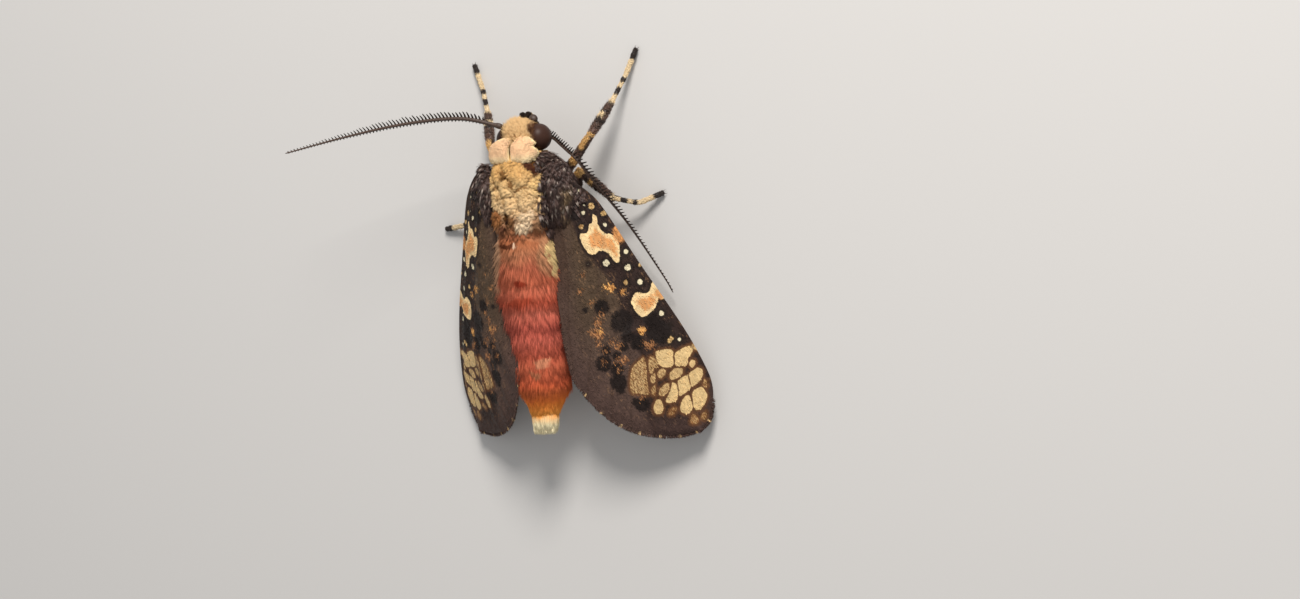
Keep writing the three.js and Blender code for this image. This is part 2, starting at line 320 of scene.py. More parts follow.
def closeTree(result, geometry, material, spares):
    # every copy takes one small patch of the map it stands on
    tree = geometry.id_data
    centred = vectorMath("SUBTRACT", named(tree, "lockMap", "FLOAT_VECTOR"), (0.5, 0.5, 0))
    patch = vectorMath("MULTIPLY_ADD", centred, (0.003, 0.003, 0), named(tree, "rootMap", "FLOAT_VECTOR"))
    geometry = store(geometry, "OFBake", patch, "FLOAT2", "CORNER")
    for spare in ("rootMap", "lockMap") + spares:
        geometry = nextNode(geometry, "GeometryNodeRemoveAttribute", {"Name": spare})
    geometry = nextNode(geometry, "GeometryNodeSetShadeSmooth")
    geometry = nextNode(geometry, "GeometryNodeSetMaterial", {"Material": material})
    tree.links.new(geometry, result.inputs[0])


def addBump(shader, height, strength, depth):
    # depth in millimetres
    sockets = {"Height": height, "Strength": strength, "Distance": depth * mm}
    made = addNode(shader.id_data, "ShaderNodeBump", sockets)
    shader.id_data.links.new(made.outputs[0], shader.inputs["Normal"])


# the camera looks down on the moth's back, leaning a little to its right (yaw) and ahead of it (pitch)
view = {"target": (-10.42, 11.66, 0.0), "distance": 230.0, "yaw": 25.2, "pitch": 8.1, "roll": -6.0,
        "lens": 57.96, "sensor": 36.0}


def turnAboutUp(vector, degrees):
    turn = math.radians(degrees)
    x, y, z = vector
    return Vector((x * math.cos(turn) - y * math.sin(turn), x * math.sin(turn) + y * math.cos(turn), z))


def makeCamera():
    yaw, pitch = math.radians(view["yaw"]), math.radians(view["pitch"])
    straightBack = (-math.sin(yaw) * math.cos(pitch), -math.sin(pitch), math.cos(yaw) * math.cos(pitch))
    back = turnAboutUp(straightBack, view["roll"])
    right = turnAboutUp((0, -1, 0), view["roll"]).cross(back).normalized()
    data = bpy.data.cameras.new("camera")
    data.lens, data.sensor_width = view["lens"], view["sensor"]
    data.clip_start, data.clip_end = 0.01, 10
    camera = bpy.data.objects.new("camera", data)
    place = Vector(home) + (Vector(view["target"]) + back * view["distance"]) * mm
    upward = back.cross(right)
    turn = Matrix((right, upward, back)).transposed()
    camera.matrix_world = Matrix.Translation(place) @ turn.to_4x4()
    bpy.context.collection.objects.link(camera)
    bpy.context.scene.camera = camera


light = {"towards": (-0.36, -0.80, 0.62), "distance": 420, "size": 150, "power": 2.3,
         "fill": 0.5, "floorColour": rgb(0.58, 0.56, 0.54), "backColour": rgb(0.58, 0.56, 0.54)}


def makeStage():
    data = bpy.data.lights.new("softBox", "AREA")
    data.shape, data.size, data.energy = "DISK", light["size"] * mm, light["power"]
    data.color = (1.0, 0.975, 0.94)
    lamp = bpy.data.objects.new("softBox", data)
    towards = Vector(light["towards"]).normalized()
    lamp.location = Vector(home) + towards * light["distance"] * mm
    lamp.rotation_euler = towards.to_track_quat("Z", "Y").to_euler()
    bpy.context.collection.objects.link(lamp)

    world = bpy.data.worlds.new("room")
    bpy.context.scene.world = world
    world.use_nodes = True
    tree = world.node_tree
    tree.nodes.clear()
    path = addNode(tree, "ShaderNodeLightPath")
    seen = calculate("MAXIMUM", path.outputs["Is Camera Ray"], path.outputs["Is Glossy Ray"])
    seen = calculate("MAXIMUM", seen, path.outputs["Is Transmission Ray"])
    fill = addNode(tree, "ShaderNodeBackground", {"Color": rgb(0.96, 0.98, 1.0), "Strength": light["fill"]})
    back = addNode(tree, "ShaderNodeBackground", {"Color": light["backColour"], "Strength": 1.0})
    mixed = addNode(tree, "ShaderNodeMixShader", {0: seen, 1: fill.outputs[0], 2: back.outputs[0]})
    addNode(tree, "ShaderNodeOutputWorld", {"Surface": mixed.outputs[0]})

    material, tree, shader = newMaterial("paleFloor", 0.9, 0.1)
    shader.inputs["Base Color"].default_value = light["floorColour"]
    reach = 1500
    corners = [(-reach, -reach, 0), (reach, -reach, 0), (reach, reach, 0), (-reach, reach, 0)]
    floor = addPiece("floor", corners, [(0, 1, 2, 3)], material)


makeCamera()
makeStage()
bpy.context.scene.view_settings.view_transform = "Standard"
print("camera, floor and light are set")

# the skin and its coat share these markings: colours down the moth from head to tail: (y, colour)
bodyBands = [
    (-9.6, (0.57, 0.37, 0.18)), (-7.4, (0.60, 0.40, 0.20)), (-6.6, (0.66, 0.46, 0.25)),
    (-5.2, (0.68, 0.40, 0.145)), (-3.6, (0.70, 0.42, 0.165)), (-1.9, (0.80, 0.55, 0.27)),
    (0.4, (0.82, 0.56, 0.30)), (1.0, (0.44, 0.27, 0.15)), (2.3, (0.30, 0.13, 0.06)),
    (2.8, (0.42, 0.15, 0.07)), (3.6, (0.38, 0.125, 0.052)), (5.0, (0.47, 0.18, 0.088)),
    (6.4, (0.56, 0.155, 0.082)), (8.0, (0.66, 0.165, 0.085)), (9.0, (0.67, 0.172, 0.096)),
    (10.1, (0.565, 0.108, 0.058)), (11.4, (0.63, 0.16, 0.102)), (13.0, (0.57, 0.116, 0.078)),
    (14.4, (0.58, 0.13, 0.086)), (16.1, (0.54, 0.11, 0.062)), (17.4, (0.56, 0.13, 0.066)),
    (19.4, (0.57, 0.11, 0.046)), (20.2, (0.60, 0.135, 0.046)), (21.0, (0.86, 0.20, 0.05)),
    (21.5, (0.94, 0.26, 0.05)), (23.0, (0.92, 0.36, 0.07)), (23.5, (0.88, 0.56, 0.27)),
    (24.2, (1.0, 0.86, 0.54)),
]
# single marks: (middle, reach, colour, strength)
bodyMarks = [
    ((3.7, -4.3, 8.5), (0.8, 0.9, 1.8), (0.10, 0.040, 0.020), 1.0),     # dark corners behind the collar
    ((-1.9, -4.25, 9.1), (0.95, 0.6, 1.6), (0.075, 0.026, 0.014), 1.0),
    ((-2.35, -3.6, 9.0), (0.45, 0.6, 1.6), (0.060, 0.020, 0.012), 1.0),
    ((-2.95, -3.9, 8.7), (0.4, 0.5, 1.2), (0.80, 0.50, 0.12), 1.0),     # yellow tuft beside the right one
    ((1.25, -3.4, 9.7), (0.5, 0.75, 1.2), (0.22, 0.10, 0.030), 0.9),     # ochre between the first pads
    ((0.35, -2.5, 9.8), (0.35, 0.6, 1.2), (0.24, 0.11, 0.035), 0.9),
    ((-0.8, -1.85, 9.8), (0.9, 0.26, 1.2), (0.26, 0.13, 0.045), 0.9),
    ((2.5, -2.1, 9.3), (0.8, 0.26, 1.2), (0.26, 0.13, 0.045), 0.85),
    ((1.25, -0.8, 9.8), (0.22, 0.6, 1.2), (0.45, 0.25, 0.09), 0.7),
    ((-2.5, -2.2, 9.3), (0.7, 1.1, 1.2), (0.74, 0.50, 0.21), 0.6),       # yellower edge
    ((2.9, 1.2, 8.6), (1.0, 0.8, 1.7), (0.36, 0.145, 0.05), 0.95),        # rusty tufts at the rear
    ((0.5, 1.4, 9.2), (0.6, 0.7, 1.4), (0.22, 0.10, 0.04), 0.95),
    # painted shade in the gap under the thorax's rear tufts, where they overhang the abdomen
    ((1.15, 1.15, 9.2), (0.5, 0.75, 1.6), (0.030, 0.012, 0.008), 1.0),   # dark gap at the rear edge
    ((1.6, 2.2, 8.6), (0.6, 0.35, 1.4), (0.12, 0.045, 0.025), 0.9),
    ((-1.15, 1.0, 9.1), (0.85, 0.8, 1.8), (0.76, 0.56, 0.35), 1.0),       # whitish rear tufts
    ((-0.9, 2.0, 8.7), (0.95, 0.6, 1.8), (0.80, 0.60, 0.39), 1.0),
    ((1.3, 4.1, 9.3), (1.1, 0.32, 1.2), (0.10, 0.028, 0.012), 0.9),       # dark crescent with a pale dot
    ((0.5, 4.1, 9.3), (0.3, 0.25, 1.0), (0.74, 0.50, 0.34), 0.9),
    ((-1.6, 3.2, 8.9), (1.3, 0.6, 1.4), (0.46, 0.18, 0.085), 0.9),
    ((-2.4, 5.2, 7.8), (0.8, 2.2, 2.0), (0.50, 0.24, 0.12), 0.85),       # paler hair at the base's sides
    ((3.6, 5.6, 8.2), (1.2, 3.4, 2.6), (0.66, 0.38, 0.22), 0.85),
    ((-3.05, 5.6, 7.9), (0.36, 1.9, 2.2), (0.88, 0.62, 0.28), 1.0),      # cream strip beside the right wing
    # painted shade in the partings between the locks of hair
    ((0.1, 8.0, 9.8), (0.7, 0.4, 1.4), (0.36, 0.035, 0.014), 0.8),       # deeper red partings
    ((0.7, 10.0, 9.6), (1.6, 0.45, 1.4), (0.40, 0.055, 0.024), 0.6),
    ((-1.1, 16.9, 9.0), (0.9, 0.5, 1.4), (0.62, 0.26, 0.14), 0.8),       # paler flecks towards the tail
    ((-0.2, 18.2, 9.0), (0.6, 0.6, 1.4), (0.56, 0.20, 0.095), 0.8),
]
bodyEnds = {"front": -10.0, "back": 26.0}


def makeMarkingsGroup():
    sockets = {"Place": "Vector"}
    tree, given, result = newGroup("bodyMarkings", "ShaderNodeTree", sockets, {"Color": "Color"})
    place = given.outputs["Place"]
    wobble = vectorMath("SUBTRACT", grain(place, 0.9, 3.0, 1), (0.5, 0.5, 0.5))
    moved = vectorMath("ADD", place, vectorMath("MULTIPLY", wobble, (1.6, 1.3, 1.2)))
    x, y, z = partsOf(moved)
    length = bodyEnds["back"] - bodyEnds["front"]
    ramp = addNode(tree, "ShaderNodeValToRGB", {0: timesPlus(y, 1 / length, -bodyEnds["front"] / length)})
    stops = ramp.color_ramp.elements
    for i, (station, colour) in enumerate(bodyBands):
        stop = stops[i] if i < 2 else stops.new(1.0)
        stop.position = (station - bodyEnds["front"]) / length
        stop.color = rgb(*colour)
    colour = ramp.outputs[0]
    for middle, reach, mark, strength in bodyMarks:
        offset = vectorMath("MULTIPLY", vectorMath("SUBTRACT", moved, middle), tuple(1 / r for r in reach))
        away = addNode(tree, "ShaderNodeVectorMath", {0: offset}, operation="LENGTH").outputs["Value"]
        colour = mix(times(step(away, 1.25, 0.75), strength), colour, rgb(*mark))
    # near-black shoulders and sides of the neck
    shoulder = step(calculate("ABSOLUTE", calculate("ADD", x, -0.85)), 3.55, 3.8)
    shoulder = times(shoulder, times(step(y, -7.4, -6.8), step(y, 3.6, 2.8)))
    neck = step(calculate("ABSOLUTE", calculate("ADD", x, -0.6)), 2.7, 3.0)
    neck = times(neck, times(step(y, -7.2, -6.9), step(y, -4.0, -4.5)))
    colour = mix(calculate("MAXIMUM", shoulder, neck), colour, rgb(0.050, 0.027, 0.020))
    # dull brown below, and brown round the eyes
    colour = mix(step(z, 5.0, 3.4), colour, rgb(0.20, 0.115, 0.07))
    eyeSides = times(step(y, -6.6, -7.2), step(calculate("ABSOLUTE", x), 1.3, 1.6))
    colour = mix(eyeSides, colour, rgb(0.10, 0.045, 0.022))
    tree.links.new(colour, result.inputs["Color"])
    return tree


markingsGroup = makeMarkingsGroup()


def coatMaterial(name, roughness):
    # each tuft takes its colour from where its root stands, and is darker towards its root as painted shade
    material, tree, shader = newMaterial(name, roughness, 0.05)
    place, tone, along, creaseShade = layers(tree, "place", "tone", "along", "creaseShade")
    marked = addNode(tree, "ShaderNodeGroup", {"Place": place}, node_tree=markingsGroup).outputs[0]
    # painted shade: darker at the roots, lighter at the tips; tone and grain add random variation on top
    shade = times(timesPlus(along, 0.09, 0.95), timesPlus(tone, 0.12, 0.94))
    shade = times(shade, timesPlus(grain(place, 1.7, 2.0), 0.3, 0.86))
    # painted shade: brown in the creases between the wool pads
    colour = mix(times(creaseShade, 0.92), marked, rgb(0.22, 0.095, 0.028))
    paint(shader, shaded(colour, shade))
    return material


# the body under its coat, head to tail
body = {
    "front": -9.2, "back": 24.75, "rings": 210, "around": 88,
    "head": {"middle": -7.5, "reach": 1.72, "width": 1.8, "height": 2.0, "fullness": 2.3},
    "neck": {"middle": -5.8, "reach": 2.4, "width": 1.5, "height": 1.6, "fullness": 4.0},
    "chest": {"middle": -1.3, "reach": 4.6, "width": 3.9, "height": 3.25, "fullness": 2.8},
    "waist": 2.4, "abdomen": 22.6, "bellyRadius": 3.2, "midRadius": 2.68, "endRadius": 1.2,
    "endHeight": 0.42, "segment": 2.7, "groove": 0.02, "bend": 0.45, "rise": 0.7, "axisHeight": 6,
}


def bellyRadius(y):
    part = np.clip((y - body["waist"]) / body["abdomen"], 0, 1)
    radius = blend(body["bellyRadius"], body["midRadius"], part)
    radius = blend(radius, body["endRadius"], smooth(y, 18.8, 24.6))
    segments = body["groove"] * np.sin((y - 3.0) * 2 * math.pi / body["segment"])
    radius = (radius + segments * smooth(y, 4, 6)) * blend(0.8, 1, smooth(y, -0.1, 5.4))
    return radius * smooth(y, -1.0, 1.0)


def bodySize(y):
    sizes = []
    for direction in ("width", "height"):
        flattened = blend(1, body["endHeight"], smooth(y, 21.5, 24.6)) if direction == "height" else 1
        lumps = [bellyRadius(y) * flattened]
        for part in ("head", "neck", "chest"):
            p = body[part]
            lumps.append(p[direction] * bulge(y, p["middle"], p["reach"], p["fullness"]))
        sizes.append(sum(lump ** 6 for lump in lumps) ** (1 / 6))
    return sizes


def bodyAxis(y):
    part = np.clip((y - body["waist"]) / body["abdomen"], -0.1, 1.0)
    sideways = body["bend"] * np.clip(part, 0, 1) + 0.25 * smooth(y, 19.5, 24.6)
    raised = body["rise"] * (1 - part) * smooth(y, -1, 5) + 0.6 * smooth(y, 21.5, 24.6)
    return sideways, body["axisHeight"] + raised


def bodyPoint(y, angle):
    width, height = bodySize(y)
    x, z = bodyAxis(y)
    power = blend(0.86, 1.0, smooth(y, 1.0, 5.0))      # a squarer chest
    sine, cosine = np.sin(angle), np.cos(angle)
    side = np.sign(sine) * np.abs(sine) ** power
    top = np.sign(cosine) * np.abs(cosine) ** power
    if sine > 0:
        side = side * (1 + 0.13 * smooth(y, 1.5, 3.5) * (1 - smooth(y, 8.0, 17.0)))
    return np.array([x + width * side, y, z + height * top])


# the wool on the thorax stands in pads: (x, y, radius)
woolPads = [(-0.9, -3.2, 1.05), (-2.35, -2.4, 0.8), (2.1, -3.7, 1.1), (0.75, -4.4, 0.7),
            (3.2, -2.7, 0.85), (0.9, -1.9, 0.95), (-1.4, -0.9, 1.25), (2.5, -0.7, 1.15), (0.4, -0.3, 0.9),
            (-2.6, -0.1, 0.75), (3.7, -1.2, 0.75), (0.6, -3.4, 0.4), (-1.55, 1.1, 0.6), (-0.5, 2.1, 0.6),
            (-1.7, 2.0, 0.6), (2.9, 1.2, 0.9), (0.1, 1.2, 0.65), (3.6, 0.2, 0.7), (1.6, 2.3, 0.6),
            (-2.5, 1.0, 0.6)]


def padsAt(points):
    # for each point: how deep it sits in its pad (0 where two pads meet), and the way from the pad's middle
    middles, radii = [], []
    for x, y, radius in woolPads:
        middles.append((x, y, bodyAxis(y)[1] + bodySize(y)[1] * max(1 - (abs(x) / 4.3) ** 2.6, 0.1) ** 0.4))
        radii.append(radius)
    middles, radii = np.array(middles), np.array(radii)
    wobble = 0.25 * swirlAt(points, 0.5, 9)
    away = np.linalg.norm((points + wobble)[:, None] - middles[None], axis=2) / radii[None]
    order = np.argsort(away, axis=1)
    rows = np.arange(len(points))
    first, second = away[rows, order[:, 0]], away[rows, order[:, 1]]
    depth = smooth(second - first, 0.0, 0.55) * (1 - smooth(first, 1.1, 1.7))
    return depth, points - middles[order[:, 0]]


def chestTop(places, front, back):
    # 1 on top of the thorax, between a front and a back, and 0 elsewhere
    along = smooth(places[:, 1], front, front + 0.6) * (1 - smooth(places[:, 1], back, back + 0.8))
    return along * smooth(places[:, 2], 6.5, 8.0)


def makeSkin():
    part = np.linspace(0, 1, body["rings"])
    eased = blend(part, 0.5 - 0.5 * np.cos(part * math.pi), 0.35)
    stations = blend(body["front"], body["back"], eased)
    angles = [2 * math.pi * j / body["around"] for j in range(body["around"])]
    points, faces, corners = loft([[bodyPoint(y, math.pi - angle) for angle in angles] for y in stations])
    points = np.array(points)
    x, z = bodyAxis(points[:, 1])
    outward = unit(points - np.stack([x, points[:, 1], z], 1))
    points += outward * (0.5 * (padsAt(points)[0] - 0.6) * chestTop(points, -5.2, 2.0))[:, None]
    points += outward * (0.10 * noiseAt(points, 0.8, 3) * (1 - smooth(points[:, 1], 2, 4)))[:, None]
    corners = [[(0.8 * u, v) for u, v in face] for face in corners]      # the legs take the rest of the map
    skin = addShape("bodySkin", (points, faces, corners), skinMaterial)
    places = placesOf(skin.data)
    setVectors(skin.data, "place", places)
    setFloats(skin.data, "tone", 0.4)
    # painted shade in the creases between the wool pads on top of the thorax
    creaseShade = 1 - smooth(padsAt(places)[0], 0.08, 0.65)
    setFloats(skin.data, "creaseShade", creaseShade * chestTop(places, -5.0, 1.4))
    return skin


skinMaterial = coatMaterial("skinUnderCoat", 0.8)
skin = makeSkin()
print("skin has", len(skin.data.polygons), "faces")


def makeLock(name, hairs, spread, gather, arch, rings, thin, flat=0.7, seed=1):
    # a lock one unit long and about one wide, its hairs side by side and drawn together at their tips
    draw = random.Random(seed)
    points, faces, along = [], [], []
    for h in range(hairs):
        start = (h - (hairs - 1) / 2) * spread
        rise = draw.uniform(0, 0.9) if hairs > 1 else 0
        length = draw.uniform(0.78, 1.0)
        lean = draw.uniform(-0.35, 0.35) if hairs > 1 else 0
        first = len(points)
        for t, width in zip(rings, thin):
            x = start * blend(1, gather, t) + lean * t
            z = rise + arch * 4 * t * (1 - t)
            for corner in range(3):
                turn = 2 * math.pi * corner / 3 + math.pi / 2
                across, upward = 0.5 * width * math.cos(turn), 0.5 * flat * width * math.sin(turn)
                points.append((x + across, t * length, z + upward))
                along.append(t)
        points.append((start * gather + lean, length, rise + arch * 0.2))
        along.append(1.0)
        tip = len(points) - 1
        for i in range(len(rings) - 1):
            for k in range(3):
                a, b = first + i * 3 + k, first + i * 3 + (k + 1) % 3
                faces.append((a, b, b + 3, a + 3))
        last = first + (len(rings) - 1) * 3
        for k in range(3):
            faces.append((last + k, last + (k + 1) % 3, tip))
        faces.append((first + 2, first + 1, first))
    mesh = bpy.data.meshes.new(name)
    mesh.from_pydata(points, [], faces)
    turnOutwards(mesh)
    setFloats(mesh, "along", along)
    layer = mesh.uv_layers.new(name="lockMap")
    reach = max(abs(p[0]) for p in points) * 2.2
    for corner in mesh.loops:
        x, y, z = mesh.vertices[corner.vertex_index].co
        layer.data[corner.index].uv = (0.5 + x / reach, 0.05 + 0.9 * min(y, 1))
    return bpy.data.objects.new(name, mesh)       # never linked: only the trees read it


def makeCoatTree():
    sockets = {"Geometry": "Geometry", "Lock": "Object", "Density": "Float", "Seed": "Int",
               "Stray": "Float", "Wave": "Float", "Wave Size": "Float", "Frizz": "Float",
               "Follow": "Float", "Origin": "Vector", "Material": "Material"}
    tree, given, result = newGroup("growCoat", "GeometryNodeTree", sockets, {"Geometry": "Geometry"})
    take = given.outputs

    def vary(name, low, high, seedShift):
        seed = calculate("ADD", take["Seed"], seedShift)
        return times(named(tree, name), randomIn(seed, low, high))

    thick = times(named(tree, "thick"), take["Density"])
    sockets = {"Mesh": take["Geometry"], "Density": thick, "Seed": take["Seed"]}
    spread = addNode(tree, "GeometryNodeDistributePointsOnFaces", sockets).outputs
    # a tuft lies with its length along the lie and its back to the skin
    stray = vectorTimes(randomIn(take["Seed"], (-1, -1, -1), (1, 1, 1), "FLOAT_VECTOR"), take["Stray"])
    lie = vectorMath("ADD", named(tree, "lie", "FLOAT_VECTOR"), stray)
    sockets = {"Primary Axis": lie, "Secondary Axis": spread["Normal"]}
    turn = addNode(tree, "FunctionNodeAxesToRotation", sockets, primary_axis="Y", secondary_axis="Z")
    width, length = vary("hairWidth", 0.75, 1.25, 12), vary("hairLength", 0.72, 1.18, 11)
    size = addNode(tree, "ShaderNodeCombineXYZ", {0: width, 1: length, 2: width})
    lock = addNode(tree, "GeometryNodeObjectInfo", {"Object": take["Lock"]})
    points = store(spread["Points"], "rootMap", named(tree, "OFBake", "FLOAT_VECTOR"))
    points = store(points, "rootNormal", spread["Normal"])
    sockets = {"Points": points, "Instance": lock.outputs["Geometry"], "Rotation": turn.outputs[0],
               "Scale": size.outputs[0]}
    tufts = addNode(tree, "GeometryNodeInstanceOnPoints", sockets).outputs[0]
    tone = randomIn(calculate("ADD", take["Seed"], 13), 0, 1)
    tufts = nextNode(store(tufts, "tone", tone, "FLOAT", "INSTANCE"), "GeometryNodeRealizeInstances")
    # waves that neighbouring tufts share, and frizz that they don't
    spot = addNode(tree, "GeometryNodeInputPosition").outputs[0]
    bend = calculate("POWER", named(tree, "along"), 1.6)
    for amount, fineness in ((take["Wave"], 1.0), (take["Frizz"], 4.5)):
        scale = calculate("DIVIDE", fineness, take["Wave Size"])
        swirl = vectorMath("SUBTRACT", grain(spot, scale, 1.0, 1), (0.5, 0.5, 0.5))
        offset = vectorTimes(swirl, times(bend, amount))
        tufts = nextNode(tufts, "GeometryNodeSetPosition", {"Offset": offset})
    # a tuft keeps its root's place for its colour, or follows the markings along its length
    own = vectorTimes(vectorMath("SUBTRACT", spot, take["Origin"]), 1 / mm)
    sockets = {0: take["Follow"], 4: named(tree, "place", "FLOAT_VECTOR"), 5: own}
    mixed = addNode(tree, "ShaderNodeMix", sockets, data_type="VECTOR").outputs[1]
    tufts = store(tufts, "place", mixed)
    closeTree(result, tufts, take["Material"], ("lie", "thick", "hairLength", "hairWidth"))
    return tree


coatTree = makeCoatTree()


def runTree(base, tree, settings, name):
    # gives what the tree makes of the base as a plain mesh object, and drops the base
    modifier = base.modifiers.new("make", "NODES")
    modifier.node_group = tree
    names = {item.name: item.identifier for item in tree.interface.items_tree if item.in_out == "INPUT"}
    for label, value in settings.items():
        modifier[names[label]] = value
    base.update_tag()
    graph = bpy.context.evaluated_depsgraph_get()
    mesh = bpy.data.meshes.new_from_object(base.evaluated_get(graph))
    mesh.name = name
    bpy.data.objects.remove(base)
    piece = bpy.data.objects.new(name, mesh)
    bpy.context.collection.objects.link(piece)
    return piece


def softenShading(mesh, amount):
    # tufts take part of their shading from the skin below them, as soft hair does
    roots = np.empty(len(mesh.vertices) * 3, np.float32)
    mesh.attributes["rootNormal"].data.foreach_get("vector", roots)
    if amount > 0:
        mixed = unit(blend(normalsOf(mesh), roots.reshape(-1, 3), amount))
        mesh.normals_split_custom_set_from_vertices(mixed.tolist())
    mesh.attributes.remove(mesh.attributes["rootNormal"])


def growCoat(name, source, lock, material, slot, seed, thick, lie, length,
             tufts, width, stray, wave, waveSize, frizz, follow=0.0, soft=0.0):
    # thick, length and width hold one value for each point of the source, or one for all
    mesh = source.data.copy()
    base = bpy.data.objects.new(name + "Base", mesh)
    bpy.context.collection.objects.link(base)
    thick = np.broadcast_to(thick, len(mesh.vertices))
    setFloats(mesh, "thick", thick)
    setFloats(mesh, "hairLength", np.asarray(length) * mm)
    setFloats(mesh, "hairWidth", np.asarray(width) * mm)
    setVectors(mesh, "lie", lie)
    area = sum(face.area * float(np.mean([thick[v] for v in face.vertices])) for face in mesh.polygons)
    settings = {"Lock": lock, "Density": tufts * share / area, "Seed": seed, "Stray": stray,
                "Wave": wave * mm, "Wave Size": waveSize * mm, "Frizz": frizz * mm, "Follow": follow,
                "Origin": tuple(home), "Material": material}
    piece = runTree(base, coatTree, settings, name)
    softenShading(piece.data, soft)
    finishPiece(piece, slot)
    print(name, "has", sum(len(face.vertices) - 2 for face in piece.data.polygons), "triangles")


silkLock = makeLock("silkLock", 5, 0.95, 0.45, 0.2, (0.0, 0.5), (1.0, 0.85), flat=0.35, seed=4)
woolLock = makeLock("woolLock", 4, 1.0, 0.7, 0.6, (0.0, 0.55), (1.0, 0.9), seed=5)
shortLock = makeLock("shortLock", 4, 1.0, 0.55, 0.4, (0.0, 0.55), (1.0, 0.8), seed=6)
bladeLock = makeLock("bladeLock", 3, 1.1, 0.6, 0.25, (0.0, 0.55), (0.8, 1.1), flat=0.25, seed=7)
flatScale = makeLock("flatScale", 1, 0.0, 1.0, 0.25, (0.0, 0.55), (0.7, 1.1), flat=0.22, seed=8)
furMaterial = coatMaterial("longHair", 0.75)


def makeShoulderMaterial():
    # near-black bristly scales, some of them tawny towards their tips, and some whitish there: partly pale
    # flecks, partly painted highlight streaks
    material, tree, shader = newMaterial("shoulderScales", 0.42, 0.45)
    place, tone, along, tawny = layers(tree, "place", "tone", "along", "tawny")
    tawny = times(tawny, step(grain(place, 0.8, 3.0), 0.4, 0.6))
    # whitish tips: pale flecks, and painted highlight streaks on the dark scales
    paleFlecksAndGlints = times(step(tone, 0.84, 0.90), step(along, 0.1, 0.6))
    paleFlecksAndGlints = times(paleFlecksAndGlints, step(grain(place, 1.3, 1.0), 0.42, 0.55))
    colour = layOver(mix(tone, rgb(0.034, 0.018, 0.015), rgb(0.125, 0.072, 0.058)), [
        (tawny, mix(tone, rgb(0.12, 0.07, 0.035), rgb(0.34, 0.23, 0.12))),
        (times(paleFlecksAndGlints, 0.75), rgb(0.42, 0.34, 0.28)),
    ])
    # painted shade: each scale much darker towards its root
    paint(shader, shaded(colour, timesPlus(along, 0.7, 0.6)))
    return material


shoulderMaterial = makeShoulderMaterial()

skinPlaces = placesOf(skin.data)
skinNormals = normalsOf(skin.data)
skinY = skinPlaces[:, 1]
skinTop = (skinPlaces[:, 2] - bodyAxis(skinY)[1]) / np.maximum(bodySize(skinY)[1], 0.3)
skinSide = (skinPlaces[:, 0] - bodyAxis(skinY)[0]) / np.maximum(bodySize(skinY)[0], 0.3)


bodyCoat = {
    "abdomen": {"tufts": 3000, "width": 0.095, "stray": 0.08, "wave": 0.22, "waveSize": 2.6, "frizz": 0.05,
                "follow": 0.8, "soft": 0.55},
    "tail": {"tufts": 1500, "width": 0.12, "stray": 0.04, "wave": 0.06, "waveSize": 1.2, "frizz": 0.06,
             "follow": 1.0, "soft": 0.4},
    "thorax": {"tufts": 3500, "width": 0.07, "stray": 0.25, "wave": 0.10, "waveSize": 0.7, "frizz": 0.05,
               "follow": 0.3, "soft": 0.5},
    "shoulder": {"tufts": 1900, "width": 0.11, "stray": 0.15, "wave": 0.14, "waveSize": 1.3, "frizz": 0.03},
    "head": {"tufts": 2600, "width": 0.065, "stray": 0.25, "wave": 0.22, "waveSize": 0.8, "frizz": 0.10,
             "follow": 0.4, "soft": 0.25},
}
tailTip = 25.15


def between(values, low, high, fade):
    return smooth(values, low - fade, low + fade) * (1 - smooth(values, high - fade, high + fade))


def lieOver(direction, liftDegrees):
    return layOn(skinNormals, direction, liftDegrees)


